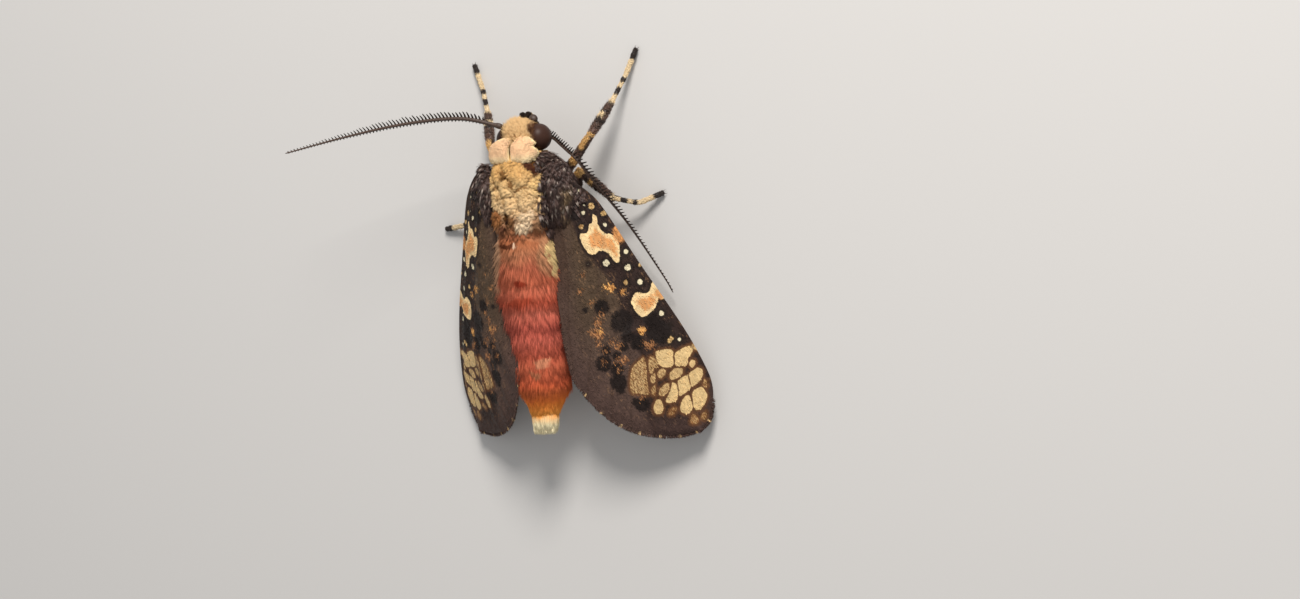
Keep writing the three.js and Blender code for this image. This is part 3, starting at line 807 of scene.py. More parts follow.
def growBodyCoat():
    count = len(skinY)
    swirl = swirlAt(skinPlaces, 1.5, 2)
    fineSwirl = swirlAt(skinPlaces, 0.6, 5)
    clump = noiseAt(skinPlaces, 0.9, 8)
    back = np.tile([0.0, 1.0, 0.0], (count, 1))
    sideways = np.zeros((count, 3))
    sideways[:, 0] = skinSide
    sideways[:, 2] = -np.abs(skinSide)

    # abdomen: long silky hair that sweeps back, fanning out at the base's sides
    upper = smooth(skinTop, -0.5, 0.1)
    flare = smooth(skinSide, 0.2, 0.8) * (1 - smooth(skinY, 7.5, 14)) * upper
    flare = flare + 0.3 * smooth(-skinSide, 0.5, 0.9) * (1 - smooth(skinY, 6.5, 10)) * upper
    fan = 0.12 + 0.4 * (1 - smooth(skinY, 3.5, 9)) + 0.35 * flare
    base = 1 - smooth(skinY, 3.2, 5.4)
    lie = lieOver(back + sideways * fan[:, None] + swirl * 0.25 + fineSwirl * 0.06,
                  blend(7, 4.5, smooth(skinY, 5, 20)) + 2.5 * clump + 6 * flare - 3 * base)
    length = blend(2.9, 2.1, smooth(skinY, 5, 18)) - 0.7 * smooth(skinY, 18, 21.5)
    length = length + 0.5 * flare - 1.4 * base
    length = (length - 0.5 * smooth(skinY, 21.5, 22.6)) * blend(0.7, 1.0, smooth(skinTop, -0.9, -0.2))
    length = length * (1 + 0.15 * clump)
    facing = blend(0.4, 1.0, smooth(skinTop, -0.7, 0.0)) * (1 + 0.5 * flare)
    for i, (low, high) in enumerate(((3.0, 8.6), (8.6, 15.0), (15.0, 22.75))):
        thick = between(skinY, low, high, 0.25) * facing
        growCoat("abdomenCoat" + str(i + 1), skin, silkLock, furMaterial, "abdomen_coat", 20 + i,
                 thick, lie, length, **bodyCoat["abdomen"])

    # tail: a blunt brush, every hair ending at one place
    thick = smooth(skinY, 22.9, 23.2)
    inwards = skinNormals * 0.10 * (1 - smooth(skinY, 24.0, 24.6))[:, None]
    lie = unit(np.tile([0.0, 1.0, 0.02], (count, 1)) - inwards)
    growCoat("tailBrush", skin, silkLock, furMaterial, "tail_brush", 31, thick, lie,
             np.maximum(tailTip - skinY, 0.5), **bodyCoat["tail"])

    # thorax: short dense wool in rounded pads, longer tufts where it hangs over the waist
    depth, fromPad = padsAt(skinPlaces)
    rear = smooth(skinY, 0.3, 2.4)
    upper = smooth(skinPlaces[:, 2], 6.2, 7.6)
    radiate = unit(fromPad) * (0.75 * upper)[:, None]
    lie = lieOver(back * blend(0.5, 1.3, rear)[:, None] + radiate * 1.3 + swirl * 0.25 + fineSwirl * 0.2,
                  blend(26, 22, rear) * blend(0.5, 1.0, depth) + 6 * clump)
    length = (0.5 + 0.65 * rear * smooth(depth, 0.1, 0.5)) * (1 + 0.25 * clump)
    underCollar = between(skinY, -7.4, -4.95, 0.2) * smooth(skinTop, 0.2, 0.5)
    length = blend(length, 0.22, underCollar)
    shoulder = smooth(np.abs(skinPlaces[:, 0] - 0.85), 3.5, 3.8)
    for i, (low, high) in enumerate(((-5.9, -1.2), (-1.2, 3.1))):
        thick = between(skinY, low, high, 0.2) * blend(0.35, 1.0, smooth(skinTop, -0.6, 0.2))
        thick = thick * (1 - 0.6 * shoulder)
        growCoat("thoraxCoat" + str(i + 1), skin, woolLock, furMaterial, "thorax_coat", 41 + i,
                 thick, lie, length, **bodyCoat["thorax"])

    # shoulders and the sides of the neck: long dark bristly scales
    neck = smooth(np.abs(skinPlaces[:, 0] - 0.6), 2.5, 2.8) * between(skinY, -7.1, -4.2, 0.3)
    thick = between(skinY, -7.0, 3.2, 0.3) * np.maximum(shoulder, neck) * smooth(skinPlaces[:, 2], 5.4, 6.4)
    lie = lieOver(back + sideways * 0.15 + swirl * 0.3, 15 + 9 * clump)
    growCoat("shoulderTufts", skin, bladeLock, shoulderMaterial, "thorax_coat", 45, thick, lie,
             1.5 * (1 + 0.3 * clump), **bodyCoat["shoulder"])

    # head: a rounded cap of hair combed forwards, and a flat face
    forward = np.tile([0.0, -1.0, 0.35], (count, 1))
    down = np.tile([0.0, -0.25, -1.0], (count, 1))
    crown = smooth(skinPlaces[:, 2], 6.6, 7.4)[:, None]
    lie = blend(down, forward, crown) + sideways * 0.5 + swirl * 0.35
    lie = lieOver(lie, 20 + 20 * crown[:, 0] + 12 * clump)
    length = blend(0.42, 0.95, crown[:, 0]) * (1 + 0.2 * clump)
    thick = 1 - smooth(skinY, -6.6, -6.0)
    growCoat("headCoat", skin, shortLock, furMaterial, "head_coat", 51, thick, lie, length,
             **bodyCoat["head"])


growBodyCoat()

wing = {
    "length": 30.55, "camber": 0.55, "curlStart": 12.0, "thickness": 0.2, "edgeThickness": 0.07,
    "stations": 256, "across": 108, "mapLength": 31, "mapWidth": 14.2,
    "hindwingDrop": 0.75, "hindwingStart": 2.5, "hindwingLength": 19.7,
    "scales": {"tufts": 5200, "length": 0.24, "width": 0.10, "stray": 0.2, "wave": 0.02, "waveSize": 0.5,
               "frizz": 0.0},
    "fringe": {"tufts": 1500, "length": 0.42, "width": 0.10, "stray": 0.15, "wave": 0.02, "waveSize": 0.5,
               "frizz": 0.0},
    "rootTufts": {"length": 1.0, "width": 0.12, "stray": 0.2, "wave": 0.10, "waveSize": 1.2, "frizz": 0.03},
}
wingSides = {
    "right": {"root": (4.9, -2.2, 7.7), "sweep": 26.3, "droop": 12.3, "roof": 22.0, "curl": 0.0,
              "tuck": 0.7, "tuckEnd": 12.5, "tufts": 117, "tuftReach": 2.6, "markStart": 0.0, "markScale": 1.0},
    "left": {"root": (4.9, -3.5, 8.4), "sweep": 19.0, "droop": 12.8, "roof": 28.5, "curl": 1.7, "tuck": 1.6,
             "tuckEnd": 20.0, "tufts": 72, "tuftReach": 1.6, "markStart": 1.1, "markScale": 0.934},
}
# outlines in the wing's own plane: u from root to tip, v from the leading edge inwards
forewingEdge = {
    "leading": [(0, -0.9), (2.3, -1.8), (4.8, -2.2), (12, -2.1), (20, -2.1), (25, -1.7), (27.4, -1.1)],
    "outer": [(29.1, 0.1), (30.3, 1.4), (30.55, 3.0), (29.9, 4.9), (28.3, 7.2), (26, 9.2), (23, 10.4),
              (19, 10.9)],
    "inner": [(16.4, 10.2), (11.7, 8.2), (7.2, 6), (3.5, 4), (0, 1.8)],
}
hindwingEdge = {
    "leading": [(2.5, -0.6), (8, -0.8), (15, 0.2), (19.8, 2.2)],
    "outer": [(22, 4.2), (22.2, 6.4), (20.4, 8.4), (17, 9.2)],
    "inner": [(11, 6.9), (6, 4.4), (2.5, 2.4)],
}
wingVeins = [
    [(0, -0.7), (8, -0.7), (17, -0.4), (22, -0.5), (26.5, -0.3), (29.6, 0.6)],
    [(0, 0.2), (8, 1.7), (15, 3.6), (17.3, 4.3)],
    [(17, -0.4), (17.7, 1.5), (17.3, 4.3)],
    [(17.7, 1.3), (21.7, 3.5), (24.6, 5.2), (28.4, 7.0)],
    [(17.4, 3.4), (19.3, 4.3), (22.5, 6.3), (26.4, 8.8)],
    [(16.4, 4.1), (17.9, 5.8), (20.5, 7.4), (24.2, 9.9)],
    [(11, 2.6), (14.4, 5.6), (18, 8.6), (20.6, 10.7)],
    [(0, 0.9), (8, 4.6), (13.5, 8.2), (17.6, 10.4)],
]
# cream patches with an orange heart, and the dots, flecks and blotches between them
creamPatches = [
    [(4.65, -0.9), (5.1, -1.15), (5.8, -0.8), (6.6, -0.75), (7.2, -0.9), (7.5, -1.3), (8.0, -1.5),
     (8.8, -1.5), (9.9, -0.9), (10.55, -0.35), (10.3, 0.0), (9.1, 0.1), (8.35, 0.7), (8.4, 1.3),
     (7.9, 1.8), (6.4, 1.75), (5.7, 1.4), (6.0, 0.7), (5.4, 0.0), (5.4, -0.4)],
    [(14.4, -2.0), (14.4, -2.6), (16.5, -2.6), (16.5, -1.9), (16.2, -1.65), (16.8, -0.8), (17.0, 0.3),
     (16.8, 1.0), (15.9, 1.2), (14.8, 0.95), (14.3, 0.2), (14.4, -0.3), (14.9, -0.7), (14.95, -1.3)],
]
orangeHearts = [
    [(5.8, -0.35), (6.7, -0.5), (7.5, -0.75), (8.0, -1.15), (8.8, -1.1), (9.8, -0.7), (10.0, -0.4),
     (9.1, -0.3), (8.5, 0.15), (7.9, 0.7), (7.7, 1.15), (7.0, 1.15), (6.4, 0.8), (6.3, 0.1)],
    [(15.25, -1.3), (16.2, -1.35), (16.55, -0.7), (16.6, 0.2), (16.0, 0.55), (15.1, 0.5), (15.1, -0.2),
     (15.4, -0.7)],
    [(15.3, -2.6), (16.5, -2.6), (16.5, -1.9), (16.1, -1.5), (15.5, -1.5), (15.2, -2.0)],
    [(7.1, -2.1), (7.2, -2.5), (8.9, -2.5), (9.0, -1.9), (8.8, -1.4), (7.7, -1.4)],
]
# (u, v, radius)
paleDots = [(6.4, -1.35, 0.25), (9.85, 0.85, 0.4), (10.05, -1.6, 0.3), (11.55, -0.8, 0.38),
            (13.6, -1.0, 0.33), (17.7, -1.0, 0.32), (21.15, -1.0, 0.24), (1.8, -1.15, 0.2),
            (4.0, -0.15, 0.26), (3.4, -0.7, 0.14), (8.85, 2.5, 0.07), (19.2, -1.2, 0.08)]
tawnyDots = [(5.1, 0.85, 0.28), (12.1, -2.05, 0.22), (12.75, 0.3, 0.27), (20.55, -0.35, 0.26),
             (20.65, 0.0, 0.24), (3.9, -1.3, 0.34), (5.3, -1.9, 0.3), (0.6, 0.2, 0.3), (2.0, 0.9, 0.2),
             (2.7, 1.2, 0.24)]
ochreFlecks = [(12.3, 1.9, 0.55), (11.9, 2.4, 0.3), (13.4, 1.1, 0.4), (18.0, 1.75, 0.48), (15.6, 5.6, 0.35)]
rustFlecks = [(14.7, 5.2, 0.55), (15.7, 5.9, 0.75), (15.2, 6.4, 0.4), (16.7, 6.5, 0.4), (14.1, 4.4, 0.35),
              (19.9, 1.9, 0.55), (19.4, 2.3, 0.35), (18.0, 4.9, 0.45), (19.6, 5.2, 0.6),
              (17.7, 6.3, 0.32), (18.6, 7.1, 0.36), (20.2, 6.3, 0.34), (19.2, 5.9, 0.3),
              (24.05, 5.95, 0.34), (12.6, 4.6, 0.3), (9.5, 3.6, 0.3), (10.8, 4.9, 0.35), (17.2, 5.2, 0.3)]
blackBlots = [(13.5, 3.95, 0.8), (16.0, 3.0, 1.2), (17.7, 3.4, 0.7), (18.9, 2.9, 0.8), (19.2, 0.3, 1.3),
              (17.6, 0.2, 0.9), (17.7, 6.2, 0.5), (18.7, 7.2, 0.85), (18.8, 5.6, 0.5), (20.0, 6.4, 0.75),
              (21.3, 7.0, 0.9), (22.0, 7.3, 0.5), (24.7, 6.3, 0.75), (24.1, 6.7, 0.4), (18.4, 4.4, 0.5),
              (12.8, 5.6, 0.3), (3.5, 0.7, 0.8), (1.2, -0.3, 0.7)]
# pale cells near the tip, the last ones tan: (how tan, outline)
cellOutlines = [
    (0.0, [(20.8, 1.5), (21.3, 0.6), (21.8, 0.25), (22.4, 0.7), (23.05, 1.05), (22.9, 1.8), (22.2, 2.35),
           (20.9, 2.0)]),
    (0.0, [(22.1, -0.9), (22.4, -1.55), (23.0, -1.5), (23.4, -0.6), (23.9, -0.1), (23.3, 0.9), (22.7, 0.65),
           (22.1, 0.2)]),
    (0.2, [(23.65, -0.8), (24.0, -1.08), (24.4, -0.85), (24.45, -0.4), (24.0, -0.35)]),
    (0.0, [(24.75, -0.9), (25.2, -1.2), (25.8, -0.9), (26.15, -0.1), (26.15, 0.75), (25.4, 0.5),
           (24.8, 0.2)]),
    (0.0, [(24.8, 0.4), (25.5, 0.68), (26.2, 0.95), (26.3, 1.9), (26.2, 2.45), (25.4, 2.0), (24.8, 1.7),
           (24.7, 1.0)]),
    (0.0, [(24.5, 2.2), (25.1, 2.0), (26.2, 2.65), (26.45, 3.2), (26.1, 3.95), (25.7, 3.85), (25.2, 3.0)]),
    (0.0, [(26.6, 0.3), (26.8, -0.1), (27.8, -0.1), (28.4, 0.5), (28.7, 1.4), (28.3, 1.9), (27.3, 1.45),
           (26.65, 1.0)]),
    (0.0, [(26.7, 1.5), (27.6, 1.75), (28.2, 2.1), (28.35, 2.8), (27.7, 3.25), (27.0, 2.8), (26.6, 2.0)]),
    (0.25, [(25.1, 4.7), (25.5, 4.35), (26.3, 4.6), (26.7, 5.1), (26.4, 5.65), (25.7, 5.5)]),
    (0.35, [(23.4, 1.2), (23.9, 0.5), (24.4, 0.8), (24.5, 1.6), (24.2, 2.2), (23.6, 1.95)]),
    (0.45, [(22.6, 2.4), (23.0, 2.1), (23.4, 2.4), (23.5, 3.0), (23.1, 3.2), (22.75, 2.95)]),
    (0.5, [(24.2, 2.9), (24.5, 2.6), (25.1, 3.1), (25.25, 3.8), (24.9, 4.2), (24.4, 3.8)]),
    (0.95, [(26.8, 3.6), (27.2, 3.45), (27.55, 4.1), (27.3, 4.55), (26.9, 4.2)]),
    (0.7, [(26.2, -0.8), (26.6, -0.9), (27.15, -0.5), (26.7, -0.3)]),
    (0.8, [(29.2, 1.0), (29.6, 1.15), (29.95, 1.6), (29.6, 1.9), (29.25, 1.6)]),
    (0.85, [(28.6, 2.4), (29.1, 2.1), (29.8, 2.4), (29.4, 3.1), (28.9, 2.8)]),
    (0.55, [(22.3, -2.1), (23.2, -2.0), (23.0, -1.7), (22.4, -1.7)]),
    (0.6, [(21.0, 2.3), (21.8, 2.4), (22.3, 2.65), (22.15, 3.0), (22.5, 3.4), (22.3, 3.7), (21.4, 3.25),
           (20.9, 2.8)]),
    (0.5, [(22.6, 3.2), (23.1, 3.45), (23.45, 3.75), (23.4, 4.1), (23.0, 4.05), (22.65, 3.75)]),
    (0.75, [(23.7, 3.9), (24.1, 4.1), (24.7, 4.6), (24.3, 4.75), (23.75, 4.45)]),
    (0.65, [(20.5, 3.3), (21.1, 3.35), (22.3, 4.05), (23.4, 4.65), (24.2, 5.1), (23.7, 5.7), (23.1, 6.45),
            (22.4, 6.3), (21.3, 5.5), (20.7, 4.7)]),
]
marginTicks = [(20.4, 10.75, 0.2), (23.1, 10.35, 0.2), (25.4, 9.55, 0.2), (27.2, 8.3, 0.2),
               (28.7, 6.7, 0.2), (29.9, 4.9, 0.2), (30.5, 3.2, 0.2), (30.2, 1.3, 0.2)]
# how far in from the leading edge the wing is near black: stations, and the line there
darkLine = ([0, 4, 8, 12, 15, 18, 21, 23, 26, 31], [0.4, 1.3, 1.7, 1.3, 2.2, 3.2, 3.0, 4.6, 6.6, 7.0])


def curveThrough(points, count):
    # a smooth curve through a few points, evenly spaced
    points = np.asarray(points, float)
    ends = np.concatenate([[2 * points[0] - points[1]], points, [2 * points[-1] - points[-2]]])
    dense = []
    for i in range(len(points) - 1):
        a, b, c, d = ends[i:i + 4]
        for t in np.linspace(0, 1, 24, endpoint=False):
            dense.append(0.5 * (2 * b + (c - a) * t + (2 * a - 5 * b + 4 * c - d) * t ** 2
                                + (3 * b - a - 3 * c + d) * t ** 3))
    dense = np.array(dense + [points[-1]])
    run = runAlong(dense)
    wanted = np.linspace(0, run[-1], count)
    return np.stack([np.interp(wanted, run, dense[:, k]) for k in range(dense.shape[1])], axis=1)


def turnAround(vector, axis, degrees):
    turn = math.radians(degrees)
    return (vector * math.cos(turn) + np.cross(axis, vector) * math.sin(turn)
            + axis * np.dot(axis, vector) * (1 - math.cos(turn)))


def placeOnWing(which, u, v, height):
    own = wingSides[which]
    sweep, droop = math.radians(own["sweep"]), math.radians(own["droop"])
    level, fall = math.cos(droop), -math.sin(droop)
    axis = np.array([math.sin(sweep) * level, math.cos(sweep) * level, fall])
    inward = turnAround(np.array([-math.cos(sweep), math.sin(sweep), 0.0]), axis, own["roof"])
    upward = np.cross(inward, axis)
    upward = upward * np.sign(upward[2])
    curl = own["curl"] * np.maximum(0, (u - wing["curlStart"]) / (wing["length"] - wing["curlStart"])) ** 2
    place = np.array(own["root"]) + u[..., None] * axis + v[..., None] * inward
    place = place + (height - curl)[..., None] * upward
    return place * np.array([sides[which], 1, 1])


def wingOutline(edge):
    around = edge["leading"] + edge["outer"] + edge["inner"]
    tip = max(range(len(around)), key=lambda i: around[i][0])
    return curveThrough(around[:tip + 1], 240), curveThrough(around[tip:][::-1], 240)


def distanceToLine(u, v, line):
    nearest = np.full(u.shape, 1e9)
    for (au, av), (bu, bv) in zip(line[:-1], line[1:]):
        du, dv = bu - au, bv - av
        t = np.clip(((u - au) * du + (v - av) * dv) / max(du * du + dv * dv, 1e-9), 0, 1)
        nearest = np.minimum(nearest, np.hypot(u - au - t * du, v - av - t * dv))
    return nearest


def insideOutline(u, v, outline):
    # how far inside a closed outline a point is; below 0 outside
    closed = curveThrough(list(outline) + [outline[0]], 90)
    inside = np.zeros(u.shape, bool)
    for (au, av), (bu, bv) in zip(closed[:-1], closed[1:]):
        crosses = (av > v) != (bv > v)
        inside ^= crosses & (u < au + (bu - au) * (v - av) / np.where(bv == av, 1e-9, bv - av))
    away = distanceToLine(u, v, closed)
    return np.where(inside, away, -away)


def insideSpots(u, v, spots):
    return np.maximum.reduce([radius - np.hypot(u - su, v - sv) for su, sv, radius in spots])


def insideShapes(u, v, outlines):
    return np.maximum.reduce([insideOutline(u, v, outline) for outline in outlines])


def insideCells(u, v):
    # depth inside the pale cells, and how tan the nearest one is
    deepest, tan = np.full(u.shape, -9.0), np.zeros(u.shape)
    for tint, outline in cellOutlines:
        depth = insideOutline(u, v, outline)
        tan = np.where(depth > deepest, tint, tan)
        deepest = np.maximum(deepest, depth)
    return deepest, tan


def shell(top, bottom, topMap, bottomMap):
    # a thin closed body between two grids of points
    rows, columns = top.shape[:2]
    points = np.concatenate([top.reshape(-1, 3), bottom.reshape(-1, 3)])
    maps = np.concatenate([topMap.reshape(-1, 2), bottomMap.reshape(-1, 2)])
    under = rows * columns
    faces = []
    for i in range(rows - 1):
        for j in range(columns - 1):
            a = i * columns + j
            quad = (a, a + 1, a + 1 + columns, a + columns)
            faces.append(quad)
            faces.append(tuple(under + k for k in reversed(quad)))
    rim = list(range(columns)) + [i * columns + columns - 1 for i in range(1, rows)]
    rim += [(rows - 1) * columns + j for j in range(columns - 2, -1, -1)]
    rim += [i * columns for i in range(rows - 2, 0, -1)]
    for a, b in zip(rim, rim[1:] + rim[:1]):
        faces.append((b, a, under + a, under + b))
    corners = [[tuple(maps[k]) for k in face] for face in faces]
    for own in corners[-len(rim):]:
        own[2], own[3] = own[1], own[0]
    return points, faces, corners


def wingMap(u, v, level):
    across = level + 0.46 * (v + 2.6) / wing["mapWidth"]
    return np.stack([0.01 + 0.98 * u / wing["mapLength"], across], axis=-1)


def wingGrid(edge, stations, across):
    front, back = wingOutline(edge)
    start, end = front[0, 0], front[-1, 0]
    t = 1 - (1 - np.linspace(0, 1, stations)) ** 1.5
    u = start + (end - start) * t * 0.9995
    low = np.interp(u, front[:, 0], front[:, 1])
    high = np.interp(u, back[:, 0], back[:, 1])
    part = np.linspace(0, 1, across)
    v = low[:, None] + np.maximum(high - low, 0.02)[:, None] * part
    return np.repeat(u[:, None], across, 1), v, np.repeat(part[None, :], stations, 0), front, back


def bothFaces(values):
    return np.concatenate([values, values])


def wingPiece(name, which, u, v, middle, half, material):
    # a wing of a given half thickness about its middle height
    shape = shell(placeOnWing(which, u, v, middle + half[0]), placeOnWing(which, u, v, middle - half[1]),
                  wingMap(u, v, 0.52), wingMap(u, v, 0.02))
    piece = addShape(name + which.capitalize(), shape, material)
    flat = np.stack([u, v, np.zeros(u.shape)], axis=-1).reshape(-1, 3)
    setVectors(piece.data, "place", bothFaces(flat))
    return piece


def makeForewing(which):
    own = wingSides[which]
    u, v, part, front, back = wingGrid(forewingEdge, wing["stations"], wing["across"])
    ridge = np.minimum.reduce([distanceToLine(u, v, curveThrough(vein, 30)) for vein in wingVeins])
    rim = distanceToLine(u, v, np.concatenate([front, back[::-1]]))
    markU = (u - own["markStart"]) / own["markScale"]      # the left wing's marks stand a little closer
    patch = insideShapes(markU, v, creamPatches)
    rise = wing["camber"] * (4 * part * (1 - part) * np.minimum(1, 4 * u / wing["length"]) - 0.5)
    ripple = 0.06 * np.cos(np.minimum(ridge, 1.2) / 1.2 * math.pi) * smooth(rim, 0, 1.5)
    ripple += 0.05 * np.sin(u * 0.9 + v * 0.5) * np.sin(v * 0.8 + 1) * smooth(rim, 0, 2)
    half = blend(wing["edgeThickness"], wing["thickness"], smooth(rim, 0, 0.8)) / 2
    veinRise = 0.04 * np.exp(-(ridge / 0.11) ** 2) * smooth(rim, 0.1, 0.6)
    veinRise = veinRise * (1 - 0.8 * smooth(patch, -0.2, 0.1))
    chord = np.maximum(v[:, -1:] - v[:, :1], 0.1)
    costa = 0.12 * np.exp(-((part * chord) / 0.35) ** 2) * smooth(u, 0, 2)      # the stout leading edge
    # the inner margin tucks down under the hair of the abdomen
    tuck = own["tuck"] * smooth(v, v[:, -1:] - 3.4, v[:, -1:])
    tuck = tuck * (1 - smooth(u, 0.6 * own["tuckEnd"], own["tuckEnd"]))
    halves = (half + veinRise + costa, half + veinRise + costa * 0.5)
    piece = wingPiece("forewing", which, u, v, rise + ripple - tuck, halves, forewingMaterial)

    cells, tan = insideCells(markU, v)
    border = np.interp(markU, *darkLine)
    outer = np.concatenate([curveThrough(forewingEdge[edge], 60) for edge in ("outer", "inner")])
    marks = {"creamPatch": patch, "orangeHeart": insideShapes(markU, v, orangeHearts), "paleCell": cells,
             "tanCell": tan, "paleDot": insideSpots(markU, v, paleDots),
             "tawnyDot": insideSpots(markU, v, tawnyDots), "ochreFleck": insideSpots(markU, v, ochreFlecks),
             "rustFleck": insideSpots(markU, v, rustFlecks), "blackBlot": insideSpots(markU, v, blackBlots),
             "darkHalf": 1 - smooth(v, border - 0.7, border + 1.1), "vein": ridge, "rim": rim,
             "purpleEdge": 1 - smooth(distanceToLine(u, v, outer), 0.4, 3.2),
             "tick": insideSpots(u, v, marginTicks)}
    for name, values in marks.items():
        setFloats(piece.data, name, bothFaces(values.ravel()))
    setFloats(piece.data, "under", np.concatenate([np.zeros(u.size), np.ones(u.size)]))
    edges = np.minimum(np.abs(cells + 0.06), np.abs(patch))
    clear = smooth(np.minimum(edges, np.abs(marks["paleDot"])), 0.03, 0.16)
    coverForewing(piece, which, u.ravel(), v.ravel(), rim.ravel(), clear.ravel())
    finishPiece(piece, "forewing_scales", "forewing_" + which)


def coverForewing(piece, which, u, v, rim, clear):
    # raised scales over both faces, a fringe on the free margins, and bristly tufts at the root
    none = np.zeros(u.size)
    base = placeOnWing(which, u, v, none)
    alongWing = unit(placeOnWing(which, u + 0.1, v, none) - base)
    acrossWing = unit(placeOnWing(which, u, v + 0.1, none) - base)
    turned = noiseAt(np.stack([u, v, none], 1), 2.5, 6)[:, None]
    normals = normalsOf(piece.data)

    def cover(name, lock, material, seed, thick, lie, coat):
        growCoat(name + which, piece, lock, material, "forewing_scales", seed, thick, lie, **coat)

    way = bothFaces(alongWing + acrossWing * (0.15 + 0.3 * turned))
    thick = np.concatenate([smooth(rim, 0.05, 0.3) * clear, smooth(rim, 0.05, 0.3) * 0.25])
    lift = np.concatenate([none + 9, none + 6])
    cover("scales_", flatScale, forewingMaterial, 11, thick, layOn(normals, way, lift), wing["scales"])
    out = unit(np.stack([u - np.minimum(u, 25.0), v - 4.0], 1))
    way = unit(bothFaces(alongWing * (out[:, :1] + 0.35) + acrossWing * out[:, 1:]) + normals * 0.1)
    margin = bothFaces((rim < 0.12) * smooth(v, -0.6, 0.4) * smooth(u, 12, 15))
    cover("fringe_", flatScale, forewingMaterial, 12, margin, way, wing["fringe"])
    tufts, reach = wingSides[which]["tufts"], wingSides[which]["tuftReach"]
    root = (1 - smooth(u - 0.3 * v, reach - 2.5, reach + 1)) * smooth(rim, 0.1, 0.5)
    thick = np.concatenate([root * (1 - smooth(v, 0.7, 1.7)), none])
    way = bothFaces(alongWing + acrossWing * (0.1 + 0.35 * turned))
    lift = np.concatenate([11 + 8 * turned[:, 0], none])
    cover("rootTufts_", bladeLock, shoulderMaterial, 13, thick, layOn(normals, way, lift),
          {"tufts": tufts, **wing["rootTufts"]})


def makeScaleGroup():
    # overlapping scales: a tone for each, and their height; Place in millimetres, scales along x
    tree, given, result = newGroup("scales", "ShaderNodeTree", {"Place": "Vector", "Scale Size": "Float"},
                                   {"Tone": "Float", "Height": "Float"})
    stretched = vectorMath("MULTIPLY", given.outputs["Place"], (0.45, 1.0, 1.0))
    size = calculate("DIVIDE", 1.0, given.outputs["Scale Size"])
    cells = addNode(tree, "ShaderNodeTexVoronoi", {"Vector": stretched, "Scale": size, "Randomness": 0.9})
    one = addNode(tree, "ShaderNodeSeparateColor", {0: cells.outputs["Color"]}).outputs[0]
    tree.links.new(one, result.inputs["Tone"])
    tree.links.new(calculate("SUBTRACT", 1.0, cells.outputs["Distance"]), result.inputs["Height"])
    return tree


def addScales(place, size):
    sockets = {"Place": place, "Scale Size": size}
    return addNode(place.id_data, "ShaderNodeGroup", sockets, node_tree=scaleGroup).outputs


scaleGroup = makeScaleGroup()


